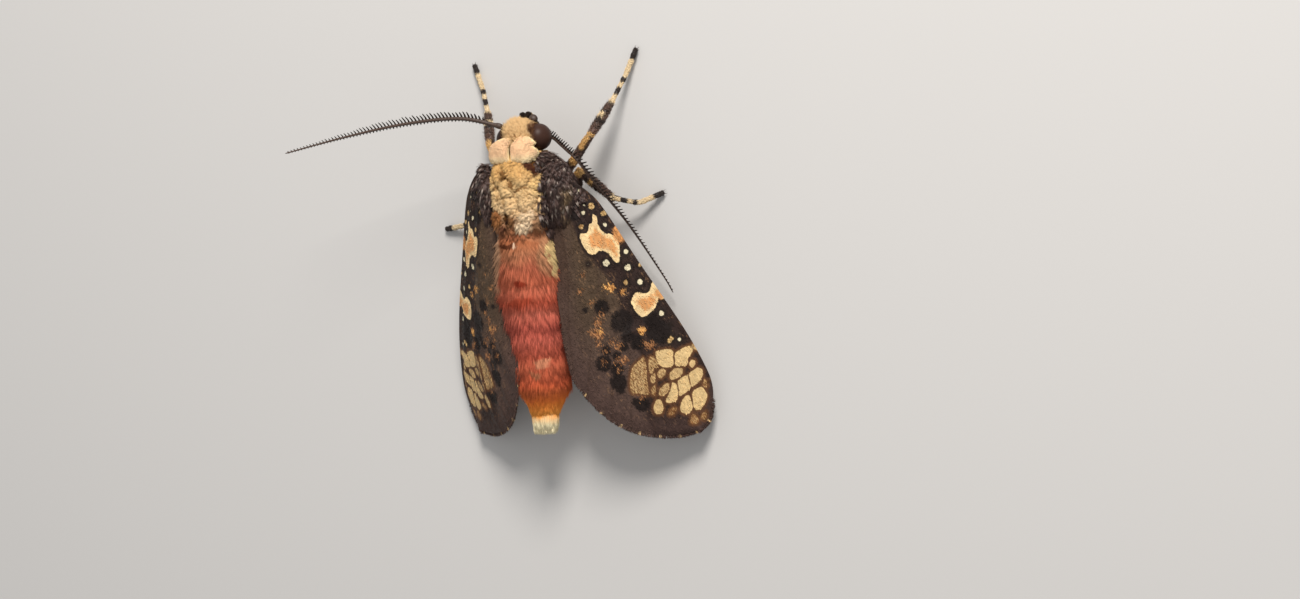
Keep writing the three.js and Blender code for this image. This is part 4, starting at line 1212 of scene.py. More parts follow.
def makeForewingMaterial():
    material, tree, shader = newMaterial("forewingScales", 0.6, 0.16)
    place, purple, tanCell = layers(tree, "place", "purpleEdge", "tanCell")
    scales = addScales(place, 0.13)
    tone = scales["Tone"]
    sockets = {"Vector": place, "Rotation": (0, 0, 0.75), "Scale": (1.2, 4.0, 1.0)}
    streak = grain(addNode(tree, "ShaderNodeMapping", sockets).outputs[0], 2.2, 3.0)
    cloud = grain(place, 0.55, 4.0)
    wander = timesPlus(grain(place, 3.2, 3.0), 0.4, -0.2)
    wander = calculate("ADD", wander, timesPlus(tone, 0.10, -0.05))

    def depth(name, amount=1.0):
        return timesPlus(wander, amount, layer(tree, name))

    # the ground: olive brown inside, redder towards the tip
    olive = mix(cloud, rgb(0.046, 0.028, 0.017), rgb(0.092, 0.058, 0.034))
    redder = mix(cloud, rgb(0.050, 0.029, 0.022), rgb(0.10, 0.060, 0.046))
    olive = mix(step(partsOf(place)["X"], 12.0, 20.0), olive, redder)
    dark = step(calculate("ADD", layer(tree, "darkHalf"), timesPlus(cloud, 1.3, -0.65)), 0.2, 0.75)
    # scattered tan scales: partly the wing's own speckles, partly painted glints of single scales
    tanSpecklesAndGlints = times(step(tone, 0.78, 0.92), step(grain(place, 0.9, 2.0), 0.42, 0.62))
    tanSpecklesAndGlints = times(tanSpecklesAndGlints, calculate("SUBTRACT", 1.0, purple))
    rust = step(calculate("ADD", depth("rustFleck", 1.6), timesPlus(streak, 2.4, -1.25)), -0.02, 0.3)
    ochre = step(calculate("ADD", depth("ochreFleck", 1.2), timesPlus(streak, 1.6, -0.85)), -0.02, 0.16)
    around = calculate("MAXIMUM", depth("creamPatch"), depth("paleDot", 0.3))
    around = calculate("MAXIMUM", around, depth("tawnyDot", 0.5))
    heart = times(step(depth("orangeHeart", 1.6), -0.15, 0.25), timesPlus(tone, 0.35, 0.72))
    tick = times(step(depth("tick", 0.8), 0.0, 0.16), step(layer(tree, "rim"), 0.4, 0.15))
    # pale cells, some of them tan or dirty
    tan = calculate("ADD", tanCell, times(tanCell, timesPlus(streak, 3.0, -1.6)))
    dirt = times(step(streak, 0.46, 0.62), step(tanCell, 0.2, 0.7))
    cell = layOver(rgb(0.58, 0.40, 0.185), [
        (step(tan, 0.0, 1.0), rgb(0.21, 0.085, 0.024)),
        (times(step(depth("paleCell", 0.8), 0.12, 0.55), 0.16), rgb(0.66, 0.47, 0.24)),
        (times(dirt, 0.75), rgb(0.13, 0.055, 0.02)),
    ])
    colour = layOver(olive, [
        (dark, rgb(0.026, 0.014, 0.011)),
        (times(purple, 0.7), rgb(0.066, 0.037, 0.030)),
        (times(tanSpecklesAndGlints, 0.42), rgb(0.22, 0.12, 0.06)),
        (times(step(layer(tree, "vein"), 0.14, 0.03), 0.4), rgb(0.045, 0.024, 0.016)),
        (times(step(depth("blackBlot", 2.0), -0.18, 0.1), 0.95), rgb(0.010, 0.006, 0.005)),
        (times(rust, 0.85), mix(tone, rgb(0.15, 0.055, 0.02), rgb(0.42, 0.19, 0.075))),
        (ochre, mix(tone, rgb(0.30, 0.11, 0.027), rgb(0.66, 0.35, 0.11))),
        (times(step(around, -0.5, -0.1), 0.9), rgb(0.014, 0.008, 0.006)),    # black rims of the pale marks
        (step(depth("creamPatch", 0.5), -0.03, 0.06), rgb(0.72, 0.52, 0.27)),
        (heart, mix(streak, rgb(0.42, 0.15, 0.04), rgb(0.66, 0.33, 0.12))),
        (step(depth("paleDot", 0.45), 0.0, 0.1), rgb(0.62, 0.54, 0.36)),
        (step(depth("tawnyDot", 0.6), -0.05, 0.1), mix(tone, rgb(0.26, 0.13, 0.04), rgb(0.52, 0.35, 0.15))),
        (times(step(layer(tree, "paleCell"), -0.45, -0.02), 0.9), rgb(0.110, 0.045, 0.017)),
        (step(depth("paleCell", 0.3), -0.03, 0.06), cell),
        (tick, rgb(0.50, 0.33, 0.16)),
    ])
    shade = times(timesPlus(tone, 0.36, 0.82), timesPlus(grain(place, 1.6, 4.0), 0.5, 0.75))
    # painted shade and light: each raised scale darker at its root and lighter towards its tip
    shade = times(shade, calculate("ADD", 1.0, layer(tree, "along")))
    under = times(layer(tree, "under"), 0.6)
    paint(shader, mix(under, shaded(colour, shade), rgb(0.17, 0.12, 0.085)))
    tree.links.new(timesPlus(tone, 0.2, 0.48), shader.inputs["Roughness"])
    addBump(shader, scales["Height"], 0.6, 0.03)
    return material


forewingMaterial = makeForewingMaterial()


def makeHindwingMaterial():
    material, tree, shader = newMaterial("hindwingScales", 0.6, 0.3)
    place = layer(tree, "place")
    scales = addScales(place, 0.16)
    cloud = grain(place, 0.4, 4.0)
    colour = mix(cloud, rgb(0.15, 0.105, 0.082), rgb(0.26, 0.19, 0.14))
    colour = mix(step(layer(tree, "vein"), 0.2, 0.05), colour, rgb(0.11, 0.06, 0.045))
    shade = timesPlus(scales["Tone"], 0.3, 0.85)
    paint(shader, shaded(colour, shade))
    addBump(shader, scales["Height"], 0.5, 0.03)
    return material


hindwingMaterial = makeHindwingMaterial()


def makeHindwing(which):
    u, v, part, front, back = wingGrid(hindwingEdge, 90, 40)
    rim = distanceToLine(u, v, np.concatenate([front, back[::-1]]))
    chord = np.maximum(v[:, -1:] - v[:, :1], 0.1)
    ridge = np.minimum.reduce([np.abs(part - vein) * chord for vein in (0.12, 0.3, 0.48, 0.66, 0.84)])
    reach = np.minimum(1, 4 * (u - wing["hindwingStart"]) / wing["hindwingLength"])
    rise = wing["camber"] * (4 * part * (1 - part) * reach - 0.5) - wing["hindwingDrop"]
    rise = rise + 0.07 * np.cos(np.minimum(ridge, 1.0) * math.pi) * smooth(rim, 0, 1.2)
    half = blend(0.05, 0.14, smooth(rim, 0, 0.6)) / 2
    half = half + 0.04 * np.exp(-(ridge / 0.1) ** 2) * smooth(rim, 0.1, 0.6)
    piece = wingPiece("hindwing", which, u, v, rise, (half, half), hindwingMaterial)
    setFloats(piece.data, "vein", bothFaces(ridge.ravel()))
    finishPiece(piece, "hindwing_scales", "hindwing_" + which)


for which in wingSides:
    makeForewing(which)
    makeHindwing(which)
print("wings are made")


def egg(middle, radii, fullness=2.0, rings=40, around=56, lean=0.0, side=1):
    # a rounded lump whose long way is y, leaning its top towards the midline
    ringList = []
    for i in range(rings):
        latitude = math.pi * (i + 0.5) / rings
        ring = []
        for j in range(around):
            turn = 2 * math.pi * j / around
            level = math.sin(latitude)
            p = np.array([level * math.sin(turn), -math.cos(latitude), level * math.cos(turn)])
            p = p / (np.sum(np.abs(p) ** fullness) ** (1 / fullness)) * np.array(radii)
            p = turnAround(p, np.array([0.0, 1.0, 0.0]), -side * lean)
            ring.append(np.array(middle) + p)
        ringList.append(ring)
    return loft(ringList)


def makeEyeMaterial():
    material, tree, shader = newMaterial("eyeGloss", 0.45, 0.16)
    coordinates = addNode(tree, "ShaderNodeTexCoord").outputs["Object"]
    sockets = {"Vector": coordinates, "Scale": 22000.0, "Randomness": 0.25}
    facets = addNode(tree, "ShaderNodeTexVoronoi", sockets)
    patches = grain(coordinates, 900.0, 3.0)
    colour = mix(patches, rgb(0.022, 0.009, 0.006), rgb(0.052, 0.022, 0.014))
    paint(shader, colour)
    addBump(shader, calculate("SUBTRACT", 1.0, facets.outputs["Distance"]), 0.25, 0.01)
    return material


eye = {"radii": (1.3, 1.45, 1.5)}
eyeMaterial = makeEyeMaterial()
for which, side in sides.items():
    middle = (side * eyeMiddle["x"], eyeMiddle["y"], eyeMiddle["z"])
    piece = addShape("eye" + which.capitalize(), egg(middle, eye["radii"]), eyeMaterial)
    finishPiece(piece, "eye", "eye_" + which)
print("eyes are made")

# tegulae: the scaled lobes over the wing roots
tegula = {
    "middle": (4.75, -1.3, 7.0), "radii": (1.12, 3.5, 1.72), "leftWidth": 0.82, "fullness": 2.2,
    "lean": 34.0,
    "inset": {"left": (0.0, 0.0), "right": (0.15, 0.5)},     # all along, and more at the front
    "length": 1.45,
    "coat": {"tufts": 2000, "width": 0.12, "stray": 0.14, "wave": 0.14, "waveSize": 1.3, "frizz": 0.03},
}


def makeTegulae():
    for which, side in sides.items():
        x, y, z = tegula["middle"]
        radii = (tegula["leftWidth"] if side > 0 else tegula["radii"][0],) + tegula["radii"][1:]
        shape = egg((side * x, y, z), radii, tegula["fullness"], 36, 40, tegula["lean"], side)
        points, faces, corners = shape
        points = np.array(points)
        inset, frontInset = tegula["inset"][which]
        points[:, 0] -= side * (inset + frontInset * (1 - smooth(points[:, 1], -4.5, -0.5)))
        piece = addShape("tegula" + which.capitalize(), (points, faces, corners), shoulderMaterial)
        places, normals = placesOf(piece.data), normalsOf(piece.data)
        setVectors(piece.data, "place", places)
        setFloats(piece.data, "tone", 0.2)
        tawny = smooth(np.abs(places[:, 0]), 4.6, 5.2) * smooth(places[:, 1], -2.6, -1.6) * 0.9
        setFloats(piece.data, "tawny", tawny)
        swirl = swirlAt(places, 1.2, 3 + side)
        way = np.tile([side * 0.12, 1.0, -0.1], (len(places), 1)) + swirl * 0.25
        lift = 9 + 6 * noiseAt(places, 0.8, 4 + side)
        lie = layOn(normals, way, lift)
        length = tegula["length"] * (1 + 0.35 * noiseAt(places, 0.7, 6))
        length = length * blend(0.55, 1, smooth(places[:, 1], -4.8, -2.5))
        length = length * blend(1, 0.7, smooth(places[:, 1], 1.0, 2.4))
        growCoat("tegulaScales" + which.capitalize(), piece, bladeLock, shoulderMaterial, "tegula_scales",
                 61 + side, 1.0, lie, length, **tegula["coat"])
        finishPiece(piece, "tegula_scales", "tegula_" + which)


makeTegulae()
print("tegulae are made")

# collar: two smooth cream plates behind the head, parted at the middle
collar = {
    "middle": (0.35, -5.2, 6.2), "radii": (3.3, 2.66, 3.02), "fullness": 3.4, "thickness": 0.42,
    "pillow": 0.42,
    "coat": {"tufts": 2600, "length": 0.28, "width": 0.12, "stray": 0.12, "wave": 0.03, "waveSize": 0.8,
             "frizz": 0.01},
}
# edges in plan: inner from the front back, outer from the front back
collarEdges = {
    "right": {"inner": [(-0.32, -7.42), (-0.12, -7.0), (0.26, -6.5), (0.33, -5.8), (0.37, -4.86)],
              "outer": [(-1.85, -7.2), (-2.35, -6.75), (-2.22, -6.4), (-2.62, -5.7), (-2.2, -4.95)],
              "front": [(-0.32, -7.42), (-0.75, -7.62), (-1.3, -7.5), (-1.85, -7.2)],
              "back": [(0.37, -4.86), (-0.5, -4.78), (-1.4, -4.62), (-2.2, -4.95)]},
    "left": {"inner": [(0.34, -7.35), (0.24, -7.0), (0.48, -6.5), (0.55, -5.8), (0.58, -4.86)],
             "outer": [(2.5, -7.0), (3.15, -6.6), (3.3, -6.1), (3.5, -5.5), (3.2, -4.9)],
             "front": [(0.34, -7.35), (0.8, -7.5), (1.7, -7.35), (2.5, -7.0)],
             "back": [(0.58, -4.86), (1.3, -4.8), (2.3, -4.85), (3.2, -4.9)]},
}


def makeCollarMaterial():
    material, tree, shader = newMaterial("collarScales", 0.7, 0.12)
    place, tone, along = layers(tree, "place", "tone", "along")
    inside = timesPlus(grain(place, 1.6, 3.0), 0.6, layer(tree, "inside"))
    colour = mix(step(inside, 0.35, 1.05), rgb(0.97, 0.79, 0.45), rgb(0.96, 0.62, 0.36))
    rear = step(partsOf(place)["Y"], -6.0, -4.9)
    colour = mix(times(rear, 0.75), colour, rgb(0.97, 0.82, 0.50))
    # painted shade along the plates' rims and in the cleft between them
    edge = step(inside, 0.40, 0.16)
    colour = mix(times(edge, 0.35), colour, rgb(0.42, 0.23, 0.09))
    shade = timesPlus(tone, 0.12, 0.92)
    # painted shade: each scale a little darker at its root
    shade = times(shade, timesPlus(along, 0.08, 0.96))
    paint(shader, shaded(colour, shade))
    scales = addScales(place, 0.12)
    addBump(shader, scales["Height"], 0.35, 0.03)
    return material


collarMaterial = makeCollarMaterial()


def collarHeight(x, y):
    cx, cy, cz = collar["middle"]
    rx, ry, rz = collar["radii"]
    n = collar["fullness"]
    room = 1 - np.minimum(np.abs((x - cx) / rx), 1) ** n - np.minimum(np.abs((y - cy) / ry), 1) ** n
    return cz + rz * np.maximum(room, 0.02) ** (1 / n)


def makeCollar():
    rows, columns = 44, 44
    for which, edges in collarEdges.items():
        inner, outer = curveThrough(edges["inner"], rows), curveThrough(edges["outer"], rows)
        front, back = curveThrough(edges["front"], columns), curveThrough(edges["back"], columns)
        s = np.linspace(0, 1, columns)[None, :, None]
        t = np.linspace(0, 1, rows)[:, None, None]
        # a patch stretched between its four edges
        flat = ((1 - s) * inner[:, None] + s * outer[:, None] + (1 - t) * front[None] + t * back[None]
                - (1 - s) * (1 - t) * front[0] - s * (1 - t) * front[-1]
                - (1 - s) * t * back[0] - s * t * back[-1])
        scallop = 0.05 * np.sin(s[..., 0] * 26) * smooth(t[..., 0], 0.85, 1.0)
        x, y = flat[..., 0], flat[..., 1] + scallop
        away = 1 - (2 * s[..., 0] - 1) ** 4
        away = np.clip(away * (1 - (2 * t[..., 0] - 1) ** 4), 0, 1) ** 0.5
        lumps = 0.06 * np.sin(x * 3.1 + 1) * np.cos(y * 2.7)
        height = collarHeight(x, y) - 0.16 + (away - 1) * collar["pillow"] + lumps * away
        top = np.stack([x, y, height], axis=-1)
        bottom = np.stack([x, y, height - 0.06 - collar["thickness"] * away], axis=-1)
        grid = np.stack([np.broadcast_to(s[..., 0], x.shape), np.broadcast_to(t[..., 0], x.shape)], axis=-1)
        shape = shell(top, bottom, 0.02 + 0.46 * grid, 0.52 + 0.46 * grid)
        piece = addShape("collar" + which.capitalize(), shape, collarMaterial)
        places, normals = placesOf(piece.data), normalsOf(piece.data)
        setVectors(piece.data, "place", places)
        setFloats(piece.data, "tone", 0.5)
        setFloats(piece.data, "inside", np.concatenate([away.ravel(), away.ravel() * 0]))
        middle = np.array([0.5 if which == "left" else 0.2, -7.8])
        way = np.concatenate([places[:, :2] - middle, np.zeros((len(places), 1))], axis=1)
        way = unit(way) + swirlAt(places, 0.9, 12) * 0.25
        clear = smooth(np.broadcast_to(s[..., 0], x.shape).ravel(), 0.02, 0.06)
        thick = np.concatenate([clear, np.zeros(x.size)])
        lie = layOn(normals, way, 9 + 6 * noiseAt(places, 0.5, 2))
        growCoat("collarScales" + which.capitalize(), piece, flatScale, collarMaterial, "collar_scales",
                 71 + len(which), thick, lie, **collar["coat"])
        finishPiece(piece, "collar_scales", "collar_" + which)


makeCollar()
print("collar is made")


def tube(path, radii, around=16, squash=1.0):
    # a closed tube along a path, with a radius for each of its points
    path = np.asarray(path, float)
    ways = unit(np.gradient(path, axis=0))
    across = unit(np.cross(ways[0], [0.0, 0.0, 1.0]))
    rings = []
    for place, way, radius in zip(path, ways, radii):
        across = unit(across - way * np.dot(across, way))
        upward = np.cross(across, way)
        ring = []
        for k in range(around):
            turn = 2 * math.pi * k / around
            ring.append(place + radius * (math.cos(turn) * across + squash * math.sin(turn) * upward))
        rings.append(ring)
    return loft(rings)


# palps: two short feelers in front of the mouth, cream below and black at the tips
palp = {
    "left": [(0.5, -8.7, 4.6), (0.52, -9.5, 4.55), (0.46, -9.82, 5.05)],
    "right": [(-0.45, -8.7, 4.6), (-0.32, -9.5, 4.55), (-0.18, -9.82, 5.05)], "radius": 0.25,
    "coat": {"tufts": 380, "length": 0.24, "width": 0.045, "stray": 0.25, "wave": 0.04, "waveSize": 0.5,
             "frizz": 0.03},
}


def makePalps():
    material, tree, shader = newMaterial("palpScales", 0.55, 0.3)
    tone, black = layer(tree, "tone"), layer(tree, "black")
    pale = mix(tone, rgb(0.34, 0.19, 0.07), rgb(0.62, 0.44, 0.22))
    dark = mix(tone, rgb(0.014, 0.009, 0.007), rgb(0.05, 0.028, 0.02))
    paint(shader, mix(black, pale, dark))
    for which, side in sides.items():
        path = curveThrough(palp[which], 24)
        part = np.linspace(0, 1, 24)
        radii = palp["radius"] * (0.75 + 0.35 * np.sin(part * 2.6)) * bulge(part, 0.48, 0.53, 4.0)
        shape = tube(path, radii, 14)
        piece = addShape("palp" + which.capitalize(), shape, material)
        places, normals = placesOf(piece.data), normalsOf(piece.data)
        nearest = nearestOn(path, places)
        outer = smooth(side * places[:, 0], 0.55, 0.75)
        black = np.maximum(smooth(part[nearest], 0.55, 0.75), outer)
        setFloats(piece.data, "black", black)
        setVectors(piece.data, "place", places)
        setFloats(piece.data, "tone", 0.4)
        way = unit(np.gradient(path, axis=0))[nearest]
        growCoat("palpScales" + which.capitalize(), piece, shortLock, material, "palp_scales",
                 81 + side, 1.0, layOn(normals, way, 24.0), **palp["coat"])
        finishPiece(piece, "palp_scales", "palp_" + which)


makePalps()
print("palps are made")


def makeRowTree():
    # sets one shape again and again along a path, each pointing where the path's outward says
    sockets = {"Geometry": "Geometry", "Shape": "Object", "Spacing": "Float", "Lean": "Float",
               "Unevenness": "Float", "Seed": "Int", "Material": "Material"}
    tree, given, result = newGroup("growRow", "GeometryNodeTree", sockets, {"Geometry": "Geometry"})
    take = given.outputs
    line = addNode(tree, "GeometryNodeMeshToCurve", {"Mesh": take["Geometry"]}).outputs[0]
    sockets = {"Curve": line, "Length": take["Spacing"]}
    spaced = addNode(tree, "GeometryNodeResampleCurve", sockets, mode="LENGTH").outputs[0]
    tangent = addNode(tree, "GeometryNodeInputTangent").outputs[0]
    way = vectorMath("ADD", named(tree, "outward", "FLOAT_VECTOR"), vectorTimes(tangent, take["Lean"]))
    sockets = {"Primary Axis": way, "Secondary Axis": tangent}
    turn = addNode(tree, "FunctionNodeAxesToRotation", sockets, primary_axis="Y", secondary_axis="X")
    vary = timesPlus(randomIn(take["Seed"], -1.0, 1.0), take["Unevenness"], 1.0)
    width = named(tree, "toothWidth")
    sockets = {0: width, 1: times(named(tree, "toothLength"), vary), 2: width}
    size = addNode(tree, "ShaderNodeCombineXYZ", sockets)
    shape = addNode(tree, "GeometryNodeObjectInfo", {"Object": take["Shape"]})
    sockets = {"Points": spaced, "Instance": shape.outputs["Geometry"], "Rotation": turn.outputs[0],
               "Scale": size.outputs[0]}
    placed = addNode(tree, "GeometryNodeInstanceOnPoints", sockets).outputs[0]
    teeth = nextNode(placed, "GeometryNodeRealizeInstances")
    closeTree(result, teeth, take["Material"], ("outward", "toothLength", "toothWidth"))
    return tree


rowTree = makeRowTree()


def growRow(name, path, outward, length, width, rootMap, shape, spacing, lean, material, slot, seed):
    mesh = bpy.data.meshes.new(name + "Path")
    steps = [(i, i + 1) for i in range(len(path) - 1)]
    mesh.from_pydata((home + np.asarray(path) * mm).tolist(), steps, [])
    base = bpy.data.objects.new(name + "Path", mesh)
    bpy.context.collection.objects.link(base)
    setVectors(mesh, "outward", outward)
    setFloats(mesh, "toothLength", np.asarray(length) * mm)
    setFloats(mesh, "toothWidth", np.asarray(width) * mm)
    setVectors(mesh, "rootMap", rootMap)
    settings = {"Shape": shape, "Spacing": spacing * mm, "Lean": lean, "Seed": seed, "Material": material,
                "Unevenness": antenna["unevenness"]}
    piece = runTree(base, rowTree, settings, name)
    finishPiece(piece, slot)
    return piece


# antennae: a tapering stem with two rows of teeth
antenna = {"rootRadius": {"right": 0.5, "left": 0.33}, "stemRadius": 0.25, "tipRadius": 0.07, "tooth": 1.0,
           "toothWidth": 0.36, "spacing": 0.4, "lean": 0.45, "unevenness": 0.12}
antennaPaths = {
    "right": [(-1.22, -9.45, 5.95), (-1.15, -8.9, 5.0), (-1.25, -8.1, 4.1), (-1.7, -7.5, 3.85),
              (-2.3, -7.15, 4.0), (-3.0, -6.8, 4.35), (-3.8, -6.3, 4.9), (-5.0, -5.5, 5.6),
              (-6.4, -4.4, 6.2), (-8.2, -1.2, 5.2), (-10.6, 3.2, 3.6), (-13.2, 8.9, 1.9),
              (-14.0, 10.9, 1.45)],
    "left": [(1.5, -8.7, 7.7), (5.9, -10, 9), (12, -10, 10.4), (19, -9.2, 11.7), (26.4, -8, 13)],
}
tooth = makeLock("tooth", 1, 0.0, 1.0, 0.5, (0.0, 0.45, 0.85), (1.0, 0.75, 0.5), flat=0.9, seed=9)


def makeAntennae():
    material, tree, shader = newMaterial("antennaHorn", 0.5, 0.3)
    part = layer(tree, "share")
    place = layer(tree, "place")
    rings = addNode(tree, "ShaderNodeTexWave", {"Vector": layer(tree, "wound"), "Scale": 0.9},
                    wave_type="BANDS", bands_direction="X").outputs["Fac"]
    colour = mix(part, rgb(0.028, 0.015, 0.011), rgb(0.070, 0.042, 0.032))
    # painted highlight: the stem's upper side is lighter, where the light falls on it
    top = mix(grain(place, 3.0, 2.0), rgb(0.05, 0.029, 0.022), rgb(0.13, 0.085, 0.062))
    colour = mix(times(layer(tree, "top"), 0.45), colour, top)
    paint(shader, colour)
    addBump(shader, rings, 0.5, 0.04)
    toothMaterial, tree, shader = newMaterial("antennaTeeth", 0.55, 0.2)
    shader.inputs["Base Color"].default_value = rgb(0.016, 0.009, 0.007)
    count = 170
    for which, points in antennaPaths.items():
        side = 1 if which == "left" else -1
        path = curveThrough(points, count)
        run = runAlong(path)
        share01 = run / run[-1]
        none = np.zeros(count)
        radii = blend(antenna["stemRadius"], antenna["tipRadius"], share01 ** 0.8)
        # a stout first joint, and rounded ends
        stouter = antenna["rootRadius"][which] - antenna["stemRadius"]
        radii = radii + stouter * (1 - smooth(run, 0.55, 0.95))
        radii = radii * smooth(run, -0.12, 0.25) * smooth(share01, 1.002, 0.99)
        piece = addShape("antenna" + which.capitalize(), tube(path, np.maximum(radii, 0.02), 12), material)
        places, normals = placesOf(piece.data), normalsOf(piece.data)
        nearest = nearestOn(path, places)
        setVectors(piece.data, "place", places)
        setFloats(piece.data, "share", share01[nearest])
        # how far each point faces up, for the painted highlight on the stem's upper side
        setFloats(piece.data, "top", smooth(normals[:, 2], 0.1, 0.7))
        setVectors(piece.data, "wound", np.stack([run, none, none], axis=1)[nearest])
        finishPiece(piece, "antenna", "antenna_" + which)
        along = unit(np.gradient(path, axis=0))
        rootMap = np.stack([0.5 + none, 0.03 + 0.94 * share01, none], axis=1)
        size = antenna["tooth"] * smooth(run, 0.6, 3.2) * (1 - 0.72 * smooth(share01, 0.35, 1.0))
        width = antenna["toothWidth"] * (1 - 0.55 * share01)
        # one row shows from above; the other turns down
        for row, (sideways, upward, scale) in enumerate(((1.0, 0.25, 1.0), (-0.35, -0.9, 0.75))):
            away = np.cross(along, [0.0, 0.0, 1.0]) * side
            toothWay = unit(unit(away) * sideways + np.array([0.0, 0.0, upward]))
            keep = slice(int(np.argmax(run > 0.9)), -3)
            growRow("antennaTeeth" + which.capitalize() + str(row + 1), path[keep], toothWay[keep],
                    size[keep] * scale, width[keep], rootMap[keep], tooth, antenna["spacing"],
                    antenna["lean"], toothMaterial, "antenna", 91 + row)


makeAntennae()
print("antennae are made")

# legs: each a tube joined into the body's skin, under a close coat of flat scales
legShape = {"coxa": 0.42, "femurSwell": 0.08, "knee": 0.38, "tibiaSwell": 0.16, "ankle": 0.30,
            "tarsus": 0.235, "flare": 0.045, "toe": 0.26,
            "scales": {"tufts": 2400, "stray": 0.25, "wave": 0.02, "waveSize": 0.4, "frizz": 0.02},
            "bristles": {"length": 0.62, "tufts": 150, "width": 0.05, "stray": 0.3, "wave": 0.04,
                         "waveSize": 0.5, "frizz": 0.02}}
footBands = [(0.0, 0.13, "pale"), (0.13, 0.26, "black"), (0.26, 0.37, "pale"), (0.37, 0.45, "black"),
             (0.45, 0.79, "pale"), (0.79, 1.1, "black")]
# bands: (segment, from, to, colour, 1 for a patch on the upper side only)
hindBands = [("femur", 0.86, 1.0, "tawny", 1), ("tibia", 0.5, 0.62, "pale", 1),
             ("tibia", 0.93, 1.0, "pale", 0)]
legs = {
    "fore_right": {
        "femur": [(-1.9, -4.4, 3.3), (-4.0, -3.6, 3.7), (-7.4, -6.8, 4.8)], "tibia": [(-9.4, -10.3, 2.6)],
        "tarsus": [(-10.6, -13.0, 1.1), (-11.8, -15.8, 0.3)],
        "bands": [("femur", 0.42, 0.56, "tawny", 0), ("femur", 0.74, 0.99, "tawny", 1),
                  ("tibia", 0.0, 0.06, "tawny", 0),
                  ("tibia", 0.36, 0.46, "black", 0), ("tibia", 0.47, 0.64, "pale", 1),
                  ("tibia", 0.66, 0.72, "black", 0),
                  ("tibia", 0.93, 1.0, "pale", 0)],
    },
    "fore_left": {
        "femur": [(1.9, -4.6, 3.3), (4.2, -4.6, 2.9), (5.9, -6.4, 3.1)], "tibia": [(6.7, -10.4, 1.5)],
        "tarsus": [(7.5, -13.0, 0.7), (8.5, -15.9, 0.3)],
        "bands": [("femur", 0.8, 1.0, "tawny", 1), ("tibia", 0.0, 0.16, "tawny", 1),
                  ("tibia", 0.5, 0.58, "black", 0),
                  ("tibia", 0.59, 0.70, "pale", 0), ("tibia", 0.94, 1.0, "pale", 0)],
    },
    "mid_right": {
        "femur": [(-2.2, -1.6, 2.8), (-4.8, -1.6, 3.6), (-5.7, -3.3, 4.9)], "tibia": [(-8.8, 0.1, 3.4)],
        "tarsus": [(-11.0, 0.9, 1.6), (-13.5, 0.0, 0.3)],
        "bands": [("femur", 0.84, 1.0, "tawny", 0), ("tibia", 0.0, 0.12, "tawny", 1),
                  ("tibia", 0.3, 0.4, "tawny", 1),
                  ("tibia", 0.9, 1.0, "pale", 0)],
    },
    "mid_left": {
        "femur": [(2.2, -1.6, 2.8), (4.6, -1.8, 3.2), (5.8, -2.6, 4.3)], "tibia": [(9.1, 1.2, 2.1)],
        "tarsus": [(11.6, 2.1, 0.9), (14.4, 2.4, 0.3)],
        "bands": [("femur", 0.84, 1.0, "tawny", 1), ("tibia", 0.45, 0.6, "pale", 1),
                  ("tibia", 0.92, 1.0, "pale", 0)],
    },
    "hind_right": {
        "femur": [(-2.0, 0.9, 2.8), (-3.9, 2.4, 2.9), (-5.6, 4.6, 4.2)], "tibia": [(-8.2, 9.4, 2.2)],
        "tarsus": [(-9.4, 11.6, 0.9), (-10.6, 13.8, 0.3)],
        "bands": hindBands,
    },
    "hind_left": {
        "femur": [(2.0, 0.9, 2.8), (3.8, 2.4, 2.7), (5.2, 4.4, 3.6)], "tibia": [(7.6, 9.0, 1.7)],
        "tarsus": [(8.8, 11.2, 0.8), (10.0, 13.4, 0.3)],
        "bands": hindBands,
    },
}


def makeLegMaterial():
    material, tree, shader = newMaterial("legScales", 0.5, 0.35)
    place, tone, along = layers(tree, "place", "tone", "along")
    warm = step(grain(place, 0.9, 2.0), 0.42, 0.6)
    colour = layOver(mix(warm, rgb(0.050, 0.030, 0.023), rgb(0.125, 0.062, 0.043)), [
        (times(tone, 0.5), rgb(0.15, 0.09, 0.065)),
        (layer(tree, "tawny"), rgb(0.72, 0.42, 0.15)),
        (layer(tree, "pale"), rgb(0.84, 0.64, 0.38)),
        (layer(tree, "black"), rgb(0.030, 0.020, 0.016)),
    ])
    # painted shade: each scale darker towards its root; tone adds random variation
    paint(shader, shaded(colour, times(timesPlus(along, 0.3, 0.78), timesPlus(tone, 0.3, 0.85))))
    return material


legMaterial = makeLegMaterial()


